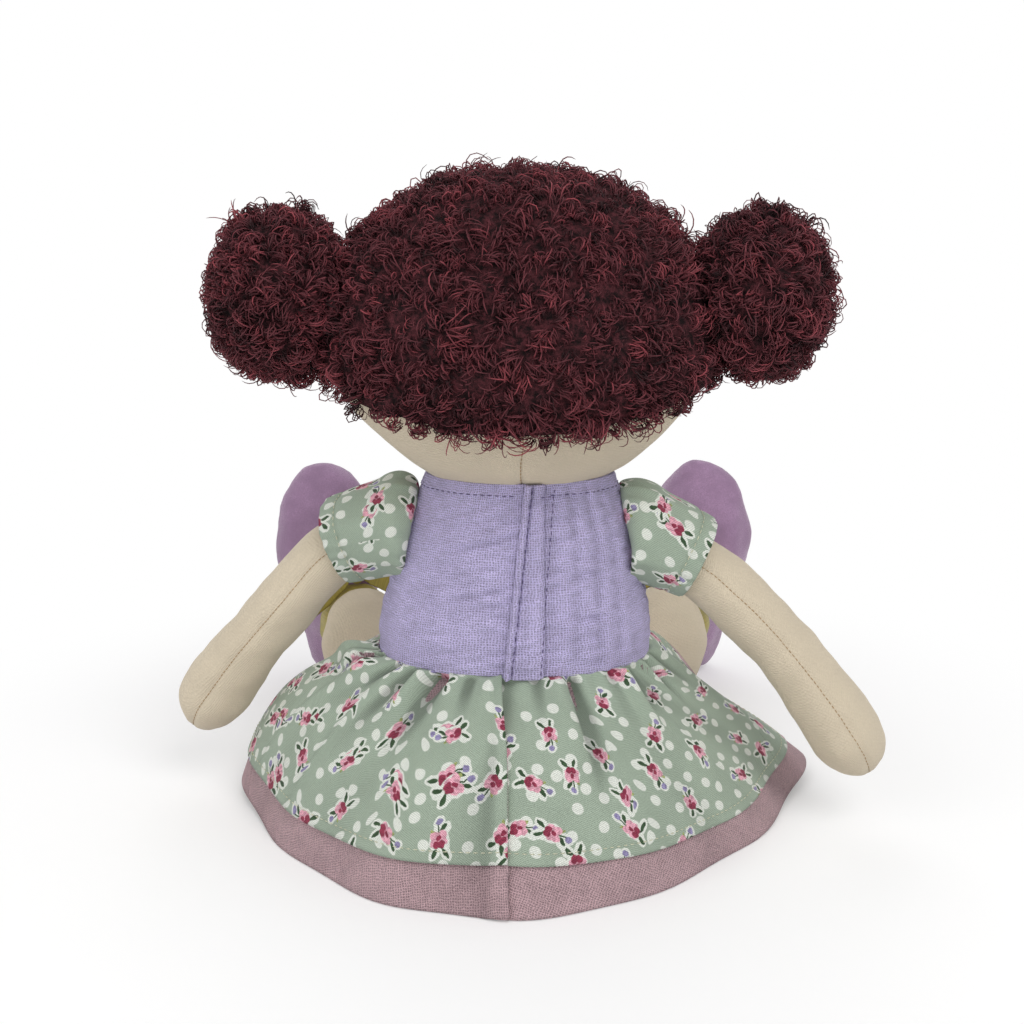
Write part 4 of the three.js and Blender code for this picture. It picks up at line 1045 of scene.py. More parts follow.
class DOLL_OT_skirt(bpy.types.Operator):
    """Hang the printed skirt over its gauze underskirt"""

    bl_idname = "doll.skirt"
    bl_label = "Skirt"

    columns: IntProperty(name="Columns", description="Columns round the waist", default=520, min=60)
    rows: IntProperty(name="Rows", description="Rows down the fall", default=64, min=8)
    overlap: length_setting("Overlap", "How far the slit's edges lap", 0.0034)

    def execute(self, context):
        falls = np.linspace(0, PRINT_SHARE, self.rows)
        grid = self.hang("skirt", "print", falls, SKIRT_FLAT, longer_sides=0.1)
        self.hem_stitches(grid)
        falls = np.linspace(0.02, 1, self.rows)
        below = sizes().cloth / MM + 0.5
        self.hang("underskirt", "pink_gauze", falls, UNDERSKIRT_FLAT, depth=below, layer=0.6)
        return {"FINISHED"}

    def hang(self, name, kind, falls, flat, depth=0.0, layer=0.0, longer_sides=0.0):
        """One layer of the skirt, as a sheet that hangs from the waist and a corner over each thigh."""
        overlap = self.overlap / MM / HEM_BACK
        turns = np.linspace(-overlap, 2 * math.pi - 0.002, self.columns)
        grid = skirt_grid(turns, falls, depth, layer, longer_sides)
        # The doll's left edge laps over the right one at the slit.
        over = 1 - smoothstep(turns, -overlap * 0.3, overlap * 1.4)
        under = smoothstep(turns, 2 * math.pi - 1.6 * overlap, 2 * math.pi - 0.3 * overlap)
        outwards = unit(np.stack([np.sin(turns), np.cos(turns), 0.7 + 0 * turns], axis=-1))
        grid = grid + outwards[None] * (1.5 * over - 0.6 * under)[None, :, None]
        grid[..., 2] = np.maximum(grid[..., 2], FLOOR + HEM_ABOVE_FLOOR)
        flat_place = cone_cut(grid)
        thick = sizes().cloth / MM
        middle = grid.mean(axis=(0, 1)) - [0, 0, 30]
        # A corner over each thigh is a piece of its own; the rest hangs from the waist.
        parts = skirt_parts((grid[:-1, :-1] + grid[1:, 1:]) / 2)
        for side in (None, *SIDES):
            piece_name = f"{name}_corner_{side}" if side else f"{name}_cloth"
            keep = parts[side]
            piece = cloth(piece_name, grid, flat_place, thick, finish_of(kind), keep=keep, outwards=middle)
            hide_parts(name)
            self.hang_from(piece, side)
        return grid

    def hang_from(self, piece, side):
        """Fix a piece to the torso, or, for a corner over a thigh, bake its place into its points."""
        if side is None:
            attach(piece, "torso")
            return
        start = np.array([0, CORNER_START, 20.0])
        end = start + unit(np.array([SIDES[side], -1.0, 0.0])) * CORNER_REACH
        start, end = (tuple(in_metres(place)) for place in (start, end))
        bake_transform(piece)

    def hem_stitches(self, grid):
        """A row of topstitches a constant way up from the print's edge."""
        up = sizes().hem_stitch_up / MM
        columns = grid[::-1].swapaxes(0, 1)
        line = np.array([places_at(up, lengths_along(column), column) for column in columns])
        points = fine_line(line, sizes().stitch / MM)
        lift = unit(np.stack([points[:, 0], points[:, 1] + 20, 0 * points[:, 0] + 30], axis=1)) * 0.15
        starts = points[:-1] + lift[:-1]
        ends = mix(points[:-1], points[1:], STITCH_FILL) + lift[:-1]
        for side, chosen in skirt_parts(points[:-1]).items():
            name = f"hem_stitches_{side or 'back'}"
            row = capsules(name, starts[chosen], ends[chosen], sizes().thread / MM, finish_of("hem_thread"))
            self.hang_from(row, side)


def armhole_distance(y, z):
    """How far out of the armhole a place lies: 1 on its edge, less inside it."""
    return np.hypot(y / ARMHOLE_HALF_DEPTH, (z - SHOULDER_HEIGHT) / ARMHOLE_HALF_HEIGHT)


def side_of_body(y, z, sign):
    """How far out to one side the dress's body lies at a place seen from that side."""
    turn = np.arcsin(np.sqrt(np.clip(1 - (y / (half_depth(z) + 2)) ** 2, 0, 1)))
    return body_point(turn * sign, z, 2.0)[..., 0]


class Crinkle:
    """The gauze's soft unevenness: ripples that run across it and, on one side, down it."""

    def __init__(self, count=70, number=12):
        chance = seed(number)
        self.ripples = [
            (
                chance.uniform(0, 2 * math.pi),
                chance.uniform(4.0, 10.0),
                chance.uniform(-0.35, 0.35),
                chance.uniform(0, 2 * math.pi),
                chance.uniform(0.25, 0.6),
            )
            for _ in range(count)
        ]

    def at(self, turn, height):
        push = np.zeros_like(turn)
        for middle, pitch, slope, phase, reach in self.ripples:
            away = within_half_turn(turn - middle)
            wave = np.cos(2 * math.pi * (height + slope * 50 * away) / pitch + phase)
            push += 0.13 * wave * bell(away, reach)
        # Soft folds run down the doll's right side of the back.
        across = within_half_turn(turn + 0.62)
        folds = np.cos(across * BODICE_RADIUS * 2 * math.pi / 8.5 + 0.04 * height) * bell(across, 0.42)
        return push + 0.42 * folds


def climb(height):
    """How far up the bodice a height lies, from 0 at the waist to 1 at the neckline."""
    return (height - WAIST_HEIGHT) / (NECKLINE_HEIGHT - WAIST_HEIGHT)


# Where the pieces' cuts lie in the cloth, so that each shows its own stretch of it.
BODICE_CUT_PLACE = 300
SLEEVE_CUT_PLACE = 400


class DOLL_OT_bodice(bpy.types.Operator):
    """Make the crinkled gauze bodice with its lapped back opening"""

    bl_idname = "doll.bodice"
    bl_label = "Bodice"

    # Where the flap bends and its tapes begin, across the back; how thick the gauze and a tape are;
    # and how far the flap is lifted off the panel.
    HINGE = -9.5
    TAPE_FROM = -6.9
    GAUZE = 1.3
    TAPE_THICK = 0.5
    FLAP_LIFT = 2.3
    # How far down from the neckline its stitches lie.
    STITCHES_DOWN = 4.6
    crinkle = Crinkle()

    def execute(self, context):
        side = math.pi / 2
        heights = np.linspace(WAIST_HEIGHT - 0.5, NECKLINE_HEIGHT, 110)[:, None]
        self.panel("bodice_back_left", heights, self.turn_at(self.HINGE + 1.6, heights), side, 130)
        self.panel("bodice_back_right", heights, -side, self.turn_at(self.HINGE, heights), 130)
        self.panel("bodice_front", heights, side, 3 * side, 150)
        self.flap()
        self.tape("loop_tape", 2.6, "torso")
        self.tape("hook_tape", 3.3, "flap")
        self.topstitch()
        return {"FINISHED"}

    def turn_at(self, x, height, out=DRESS_OUT):
        return np.arcsin(x / (half_width(height) + out))

    def surface(self, turn, height, out):
        """A gauze surface round the body, rolled a little at the neckline."""
        ends = np.minimum(1, np.minimum(height - WAIST_HEIGHT + 0.3, NECKLINE_HEIGHT + 0.4 - height) / 4)
        rim = 0.5 * bell(height - NECKLINE_HEIGHT + 0.8, 1.2)
        facing = 0.35 * smoothstep(height, NECKLINE_HEIGHT - 5.4, NECKLINE_HEIGHT - 4.4)
        puff = 0.9 * np.sin(np.clip((height - WAIST_HEIGHT) / 26, 0, 1) * math.pi)
        push = self.crinkle.at(turn, height) * np.clip(ends, 0.25, 1)
        return body_point(turn, height, out + push + rim + facing + puff)

    def panel(self, name, heights, low, high, columns):
        """One panel of gauze between two turns round the body, open where the arms go through."""
        turn, height = np.broadcast_arrays(mix(low, high, np.linspace(0, 1, columns)), heights)
        outer, inner = (self.surface(turn, height, out) for out in (DRESS_OUT, DRESS_OUT - self.GAUZE))
        hole = self.on_side(outer) & (armhole_distance(outer[..., 1], outer[..., 2]) < 0.88)
        for face in (outer, inner):
            self.draw_to_armhole(face)
        keep = ~(hole[:-1, :-1] | hole[1:, :-1] | hole[:-1, 1:] | hole[1:, 1:])
        flat = self.flat_cut(turn, height)
        piece = cloth(f"{name}_cloth", outer, flat, inner, finish_of("gauze"), keep=keep)
        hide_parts(name)
        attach(piece, "torso")

    def on_side(self, points):
        return np.abs(points[..., 0]) > ARMHOLE_FROM_MIDDLE

    def draw_to_armhole(self, face):
        """Move the points just inside the armhole out onto its edge."""
        x, y, z = np.moveaxis(face, -1, 0)
        away = armhole_distance(y, z)
        near = self.on_side(face) & (away < 1)
        factor = np.where(near, 1 / np.maximum(away, 0.5), 1)
        y *= factor
        z[...] = SHOULDER_HEIGHT + (z - SHOULDER_HEIGHT) * factor
        x[...] = np.where(near, side_of_body(y, z, np.sign(x)), x)

    def flat_cut(self, turn, height):
        return np.stack([turn * BODICE_RADIUS + BODICE_CUT_PLACE, height], axis=-1)

    def edge_at(self, height):
        """Where the folded edge that shows lies, across the back, at a height."""
        return mix(6.2, -1.6, climb(height))

    def lift_at(self, x):
        """How far the flap's cloth is lifted off the panel, across the back from its hinge."""
        return self.FLAP_LIFT * smoothstep(x, self.HINGE, self.HINGE + 2.8)

    def flap(self):
        heights = np.linspace(WAIST_HEIGHT - 0.4, NECKLINE_HEIGHT, 130)
        share, height = np.meshgrid(np.linspace(0, 1, 50), heights)
        edge = self.edge_at(height)
        x = mix(self.HINGE, edge, share)
        from_edge = edge - x
        out = DRESS_OUT + self.lift_at(x)
        # The folded edge is a soft roll that stands up from the panel and turns down onto it.
        roll = 1.6 * bell(from_edge - 1.4, 0.85) - 1.9 * smoothstep(from_edge, 1.0, 0)
        roll -= 0.8 * bell(from_edge - 3.0, 0.5)
        turn = self.turn_at(x, height, 3.0)
        outer = self.surface(turn, height, out + roll)
        inner = self.surface(turn, height, out - 0.7 - 0.5 * smoothstep(from_edge, 0.9, 0))
        piece = cloth("back_flap_cloth", outer, self.flat_cut(turn, height), inner, finish_of("gauze"))
        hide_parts("back_flap")
        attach(piece, "flap")

    def tape(self, name, out, body):
        heights = np.linspace(WAIST_HEIGHT + 4, NECKLINE_HEIGHT - 4, 60)
        share, height = np.meshgrid(np.linspace(0, 1, 12), heights)
        x = mix(self.TAPE_FROM, self.edge_at(height) - 1.8, share)
        turn = self.turn_at(x, height, out)
        outer, inner = (self.surface(turn, height, level) for level in (out + self.TAPE_THICK, out))
        flat = self.flat_cut(turn, height)
        piece = cloth(f"{name}_strip", outer, flat, inner, finish_of(name))
        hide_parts(name)
        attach(piece, body)

    def topstitch(self):
        thread = finish_of("bodice_thread")
        heights = np.linspace(WAIST_HEIGHT + 1, NECKLINE_HEIGHT - 1, 60)
        turn = self.turn_at(self.edge_at(heights) - 3.0, heights, 3.0)
        stitches("flap_stitches_edge", self.surface(turn, heights, 4.0), thread, "flap")
        # The inner row starts on the flap at the waist and crosses its root onto the panel.
        x = self.edge_at(heights) - mix(13.8, 11.6, climb(heights))
        turn = self.turn_at(x, heights, 3.0)
        line = self.surface(turn, heights, 2.45 + self.lift_at(x))
        for body, chosen in (("flap", x > self.HINGE + 0.2), ("torso", x < self.HINGE - 0.2)):
            stitches(f"{body}_stitches_inner", line[chosen], thread, body)
        turns = np.linspace(0.06, 2 * math.pi - 0.28, 300)
        stitched = NECKLINE_HEIGHT - self.STITCHES_DOWN
        line = self.surface(turns, np.full_like(turns, stitched), 2.4)
        clear = armhole_distance(line[:, 1], line[:, 2]) > 1.06
        for number, run in enumerate(self.runs(clear)):
            stitches(f"neckline_stitches_{number}", line[run], thread, "torso")
        turns = np.linspace(-0.3, self.turn_at(self.edge_at(NECKLINE_HEIGHT) - 4.4, NECKLINE_HEIGHT), 12)
        across = self.surface(turns, np.full_like(turns, stitched), 4.7)
        stitches("flap_stitches_top", across, thread, "flap")

    def runs(self, kept):
        """Unbroken stretches of a row of true and false."""
        places = np.flatnonzero(kept)
        return [run for run in np.split(places, np.flatnonzero(np.diff(places) > 1) + 1) if len(run) > 6]


# How far down the sleeve its hem is stitched, from 0 at the armhole to 1 at the cuff.
CUFF_STITCHES = 0.85
SLEEVE_RADIUS = 21


class DOLL_OT_sleeves(bpy.types.Operator):
    """Sew on the puffed printed sleeves"""

    bl_idname = "doll.sleeves"
    bl_label = "Sleeves"

    def execute(self, context):
        for side in SIDES:
            self.sleeve(side)
        return {"FINISHED"}

    def sleeve(self, side):
        sign = SIDES[side]
        line = sleeve_line(side)
        share = np.linspace(0, 1, len(line))
        turns = full_turn(190)
        radius = through([(0, 17.5), (0.4, 18.6), (0.75, 18.2), (1, 16.8)])(share)
        grid = tube_grid(line, radius, radius, turns)
        # The inner end is sewn round the armhole, on the bodice's surface.
        sewn = 1 - smoothstep(share, 0, 0.42) ** 0.8
        grid = mix(grid, self.armhole(turns, sign)[None], sewn[:, None, None])
        turn, fall = np.meshgrid(turns, share)
        head = Gathers(18, 20 + sign, (0.3, 0.6), (0.6, 1.5), (3.5, 6.5)).at(turn, fall)
        cuff = Gathers(12, 40 + sign, (0.25, 0.5), (0.4, 0.9), (3.5, 6.0)).at(turn, 1 - fall)
        folds = Gathers(6, 60 + sign, (3, 4), (0.5, 1.2), (8.0, 13.0)).at(turn, fall)
        push = head * smoothstep(fall, 0, 0.06) + cuff * 0.7 + folds * smoothstep(fall, 0, 0.2)
        rim = 0.3 * smoothstep(fall, CUFF_STITCHES, 1.0) - 0.6 * bell(fall - CUFF_STITCHES, 0.02)
        puff = 3.0 * bell(fall - 0.26, 0.15)
        away = unit(grid - line[:, None, :])
        grid = grid + away * (push + rim + puff)[..., None]
        thick, flat, inside = sizes().cloth / MM, self.flat_cut(grid, turns), line.mean(axis=0)
        name = f"sleeve_{side}_cloth"
        piece = cloth(name, grid, flat, thick, finish_of("print"), wrap=True, outwards=inside)
        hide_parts(f"sleeve_{side}")
        self.hinge(piece, side)
        edge = int(len(line) * CUFF_STITCHES)
        ring = grid[edge] + away[edge] * 0.4
        ring = np.concatenate([ring, ring[:1]])
        self.hinge(topstitches(f"cuff_stitches_{side}", ring, finish_of("hem_thread")), side)

    def armhole(self, turns, sign):
        """The seam round the armhole, in step with the sleeve's own rings."""
        y = sign * ARMHOLE_HALF_DEPTH * np.cos(turns)
        z = SHOULDER_HEIGHT + ARMHOLE_HALF_HEIGHT * np.sin(turns)
        x = side_of_body(y, z, sign)
        return np.stack([x, y * 1.03, SHOULDER_HEIGHT + (z - SHOULDER_HEIGHT) * 1.02], axis=-1)

    def flat_cut(self, grid, turns):
        down = lengths_along(closed(grid))
        around = np.append(turns, 2 * math.pi) * SLEEVE_RADIUS + SLEEVE_CUT_PLACE
        return np.stack([np.broadcast_to(around, down.shape), down], axis=-1)

    def hinge(self, piece, side):
        """Bake a piece's place into its points."""
        start = shoulder(side) + [-SIDES[side] * 4, 0, 0]
        end = shoulder(side) + [SIDES[side] * 22, 0, -8]
        start, end = tuple(in_metres(start)), tuple(in_metres(end))
        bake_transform(piece)


def shoulder(side):
    return np.array([SIDES[side] * SHOULDER_OUT, 0, SHOULDER_HEIGHT])


def lifted(points, side):
    """Raise the upper arm a little: its filling bears it up just below the shoulder."""
    away = np.linalg.norm(points - shoulder(side), axis=-1)
    height = {"left": 6.5, "right": 0.5}[side] * bell(away - 38, 22)
    return points + height[..., None] * UPRIGHT


def arm_line(side, count=60):
    """The arm's middle, from its seam at the shoulder to the tip of the hand."""
    sign = SIDES[side]
    drop, forward = {"left": (45, 20), "right": (44, -5)}[side]
    ahead = math.radians(forward)

    def direction(angle):
        down, level = math.sin(math.radians(angle)), math.cos(math.radians(angle))
        return np.array([sign * level, -down * math.sin(ahead), -down * math.cos(ahead)])

    start = shoulder(side)
    bend = start + direction(20) * 52
    hand = start + direction(drop) * 125
    tip = hand + unit(hand - bend) * 15.5
    root = start - [sign * 2.8, 0, 0]
    u = np.linspace(0, 1, count)[:, None]
    return lifted((1 - u) ** 2 * root + 2 * u * (1 - u) * bend + u**2 * tip, side)


SLEEVE_REACH = 33.5


def sleeve_line(side):
    """The sleeve's middle, from inside the armhole to its cuff round the arm."""
    arm = arm_line(side, 200)
    half, end = places_at([SLEEVE_REACH / 2, SLEEVE_REACH], lengths_along(arm), arm)
    start = shoulder(side)
    lift = {"left": 4, "right": -1}[side]
    inside = start + [-SIDES[side] * 9, 0, lift * 0.8]
    points = np.array([inside, start + [0, 0, lift / 2], half + [0, 0, 2.2 + lift / 3], end + [0, 0, 4]])
    places = np.array([0, 9, 26, 42]) / 42
    share = np.linspace(0, 1, 70)
    return np.stack([through(list(zip(places, points[:, k])))(share) for k in range(3)], axis=1)


# Stuffed pieces start from their solids, which hold their place and rough form.
def remeshed(name, node, voxel, material):
    """A copy of a solid's form as one even mesh."""
    mesh = bpy.data.objects[node].data.copy()
    mesh.materials.clear()
    mesh.materials.append(material)
    piece = bpy.data.objects.new(name, mesh)
    bpy.context.scene.collection.objects.link(piece)
    form = bmesh.new()
    form.from_mesh(mesh)
    bmesh.ops.remove_doubles(form, verts=form.verts, dist=0.00001)
    form.to_mesh(mesh)
    form.free()
    remesh = piece.modifiers.new("even", "REMESH")
    remesh.mode = "VOXEL"
    remesh.voxel_size = voxel
    apply_modifiers(piece)
    return piece


def choose(pieces):
    """Select some pieces, the first of them as the active one."""
    bpy.ops.object.select_all(action="DESELECT")
    for piece in pieces:
        piece.select_set(True)
    bpy.context.view_layer.objects.active = pieces[0]


def apply_modifiers(piece):
    choose([piece])
    for modifier in list(piece.modifiers):
        bpy.ops.object.modifier_apply(modifier=modifier.name)


def refine(piece):
    subdivide = piece.modifiers.new("fine", "SUBSURF")
    subdivide.levels = subdivide.render_levels = 1
    apply_modifiers(piece)


def vertices_of(piece):
    points = np.empty(len(piece.data.vertices) * 3)
    piece.data.vertices.foreach_get("co", points)
    return points.reshape(-1, 3)


def set_vertices(piece, points):
    """Moves a piece's points, none of them below the floor."""
    points[:, 2] = np.maximum(points[:, 2], FLOOR)
    piece.data.vertices.foreach_set("co", points.ravel())
    piece.data.update()


def points_of(piece):
    """A piece's points in millimetres from the doll's middle line."""
    return in_millimetres(vertices_of(piece))


def set_points(piece, points):
    set_vertices(piece, in_metres(points))


def normals_of(piece):
    normals = np.empty(len(piece.data.vertices) * 3)
    piece.data.vertices.foreach_get("normal", normals)
    return normals.reshape(-1, 3)


# The filling's pressure on its cover, and for how many frames it presses.
FILLING_PRESSURE = 4.0
FILLING_FRAMES = 14


def stuff(pieces, cap=0.0012):
    """Blow the covers up from inside, as filling does, at most by the cap, and smooth them once."""
    before = [vertices_of(piece) for piece in pieces]
    scene = bpy.context.scene
    for piece in pieces:
        cover = piece.modifiers.new("cover", "CLOTH")
        settings = cover.settings
        settings.quality = 4
        settings.tension_stiffness = 12
        settings.compression_stiffness = 12
        settings.bending_stiffness = 1.5
        settings.use_pressure = True
        settings.uniform_pressure_force = FILLING_PRESSURE
        settings.effector_weights.gravity = 0
        cover.collision_settings.use_collision = False
        cover.point_cache.frame_end = FILLING_FRAMES
    for number in range(1, FILLING_FRAMES + 1):
        scene.frame_set(number)
    for piece in pieces:
        apply_modifiers(piece)
    scene.frame_set(1)
    for piece, start in zip(pieces, before):
        moved = vertices_of(piece) - start
        length = np.linalg.norm(moved, axis=1, keepdims=True)
        set_vertices(piece, start + moved * np.minimum(1, cap / np.maximum(length, 1e-9)))
        smooth = piece.modifiers.new("smooth", "SMOOTH")
        smooth.factor = 0.5
        smooth.iterations = 3
        refine(piece)
        piece.data.polygons.foreach_set("use_smooth", np.full(len(piece.data.polygons), True))


def laid_on(piece, line, lift=0.0):
    """A line in millimetres, moved onto the nearest places of a piece."""
    faces = [face.vertices for face in piece.data.polygons]
    tree = BVHTree.FromPolygons([vertex.co for vertex in piece.data.vertices], faces)
    laid = []
    for point in np.asarray(line, dtype=float):
        place, normal, _, _ = tree.find_nearest(Vector(in_metres(point)))
        laid.append(in_millimetres(np.array(place)) + np.array(normal) * lift)
    return np.array(laid)


def press_seam(piece, line, depth, width):
    """Draw the cover in along a seam."""
    points = points_of(piece)
    fine = fine_line(line, 0.8)
    near = np.full(len(points), np.inf)
    # The seam is taken in stretches, since every point is measured to every place of a stretch.
    for stretch in np.array_split(fine, math.ceil(len(fine) / 40)):
        away = np.linalg.norm(points[:, None] - stretch[None], axis=2).min(axis=1)
        near = np.minimum(near, away)
    push = depth * bell(near, width)
    set_points(piece, points - normals_of(piece) * push[:, None])


def seam(name, piece, line, body, depth, width=1.6, fill=0.6):
    """A sewn seam on a stuffed piece: a groove with its stitches."""
    laid = laid_on(piece, fine_line(line, 1.5))
    press_seam(piece, laid, depth, width)
    laid = laid_on(piece, laid, 0.05)
    stitches(name, laid, finish_of("seam_thread"), body, pitch=2.0, fill=fill, radius=0.2)


def waves_through(points, count, pitch, longest, number):
    """The sum at each point of plane waves with random ways, and pitches up to the longest share."""
    chance = seed(number)
    total = np.zeros(len(points))
    for _ in range(count):
        aim = unit(chance.normal(size=3))
        length = pitch * chance.uniform(0.7, longest)
        total += np.cos(points @ aim * 2 * math.pi / length + chance.uniform(0, 6.28))
    return total


def wrinkle(piece, height, pitch, number):
    """Soft unevenness of the filling."""
    points = points_of(piece)
    push = waves_through(points, 14, pitch, 1.6, number) * height / 4
    set_points(piece, points + normals_of(piece) * push[:, None])


# The ankle's radius under its ribbon, and how far the calf's filling lies out to the side and up.
TIED_RADIUS = 17.2
CALF_SHIFT = {"left": np.array([8.0, 0.0, 3.0]), "right": np.array([-6.0, 0.0, 3.0])}


class DOLL_OT_body(bpy.types.Operator):
    """Stuff the torso, the neck, the arms and the legs"""

    bl_idname = "doll.body"
    bl_label = "Body and limbs"

    def execute(self, context):
        jersey = finish_of("jersey")
        torso = remeshed("torso_stuffed", "torso", 0.0036, jersey)
        neck = remeshed("neck_stuffed", "neck", 0.0026, jersey)
        limbs = {}
        for side in SIDES:
            limbs[f"arm_{side}"] = remeshed(f"arm_{side}_stuffed", f"arm_{side}", 0.0024, jersey)
            limbs[f"leg_{side}"] = remeshed(f"leg_{side}_stuffed", f"leg_{side}", 0.003, jersey)
        self.fill_neckline(torso)
        stuff([torso, neck, *limbs.values()])
        for node, piece in {"torso": torso, "neck": neck, **limbs}.items():
            # Each piece's own unevenness comes from a seed, and its name's length serves as one.
            wrinkle(piece, 0.35, 16, len(node))
            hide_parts(node)
            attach(piece, node)
        for side in SIDES:
            arm, leg = limbs[f"arm_{side}"], limbs[f"leg_{side}"]
            self.tie_in(leg, side)
            set_points(arm, lifted(points_of(arm), side))
            self.arm_seam(arm, side)
            self.leg_seam(leg, side)
            self.hip_tab(side, jersey)
        return {"FINISHED"}

    def fill_neckline(self, torso):
        """Raise the top of the torso into a low dome that fills the dress's neckline."""
        points = points_of(torso)
        rim = NECKLINE_HEIGHT - 12
        neckline = [half_width(NECKLINE_HEIGHT), half_depth(NECKLINE_HEIGHT)]
        from_middle = np.hypot(*(points[:, :2] / neckline).T)
        share = smoothstep(points[:, 2], rim - 8, rim)
        level = NECKLINE_HEIGHT + 0.2 - 1.6 * np.clip(1 - from_middle, 0, 1)
        points[:, 2] = np.maximum(points[:, 2], mix(points[:, 2], level, share))
        points[:, :2] *= 1 + 0.07 * share[:, None]
        set_points(torso, points)

    def tie_in(self, leg, side):
        """Draw the leg in under its ribbon and let the calf swell above it."""
        points = points_of(leg)
        _, end = leg_ends(side)
        direction = leg_direction(side)
        along = (points - end) @ direction
        middle = end + along[:, None] * direction
        radius = np.linalg.norm(points - middle, axis=1)
        tied = np.exp(-(((along + 5) / 6) ** 4))
        swollen = 1 + 0.2 * bell(along + 27, 14)
        factor = mix(swollen, np.minimum(swollen, TIED_RADIUS / np.maximum(radius, 1)), tied)
        calf = bell(along + 34, 18)[:, None] * CALF_SHIFT[side]
        set_points(leg, middle + (points - middle) * factor[:, None] + calf)

    def arm_seam(self, arm, side):
        """The seam down the back of the arm, from the cuff to the tip of the hand."""
        line = arm_line(side)[16:]
        back = line + [0, 14.0, 4.0]
        tip = line[-1:] + [0, 4.0, 0]
        seam(f"arm_seam_{side}", arm, np.concatenate([back[:-3], tip]), f"arm_{side}", depth=0.6, fill=0.8)

    def leg_seam(self, leg, side):
        start, end = leg_ends(side)
        along = np.linspace(0.18, 0.97, 30)[:, None]
        line = mix(start, end, along) - np.array([0, 0, 26.0])
        seam(f"leg_seam_{side}", leg, line, f"leg_{side}", depth=0.7)

    def hip_tab(self, side, material):
        tab = remeshed(f"hip_tab_{side}_cloth", f"hip_tab_{side}", 0.0012, material)
        refine(tab)
        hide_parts(f"hip_tab_{side}")
        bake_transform(tab)


LEG_LENGTH = 118
ANKLE_HEIGHT = 37.0


def leg_ends(side):
    """Hip end and ankle end of a leg's middle."""
    hip = in_millimetres(np.array(JOINTS[f"hip_flex_{side}"]["pos_m"]))
    start = hip + [0, -12.0, 0]
    end = start + leg_direction(side) * LEG_LENGTH
    end[2] = ANKLE_HEIGHT
    return start, end


def leg_direction(side):
    splay = math.radians({"left": 31, "right": 28}[side])
    return np.array([SIDES[side] * math.sin(splay), -math.cos(splay), 0.0])


# The face is embroidered on the head's front, so this y lies near it.
FACE_FRONT = -44.0
EYE_OUT = 25
EYE_HEIGHT = 190
NOSE_HEIGHT = 180
MOUTH_HEIGHT = 171
MOUTH_HALF_WIDTH = 10
BLUSH = (0.880, 0.560, 0.540)


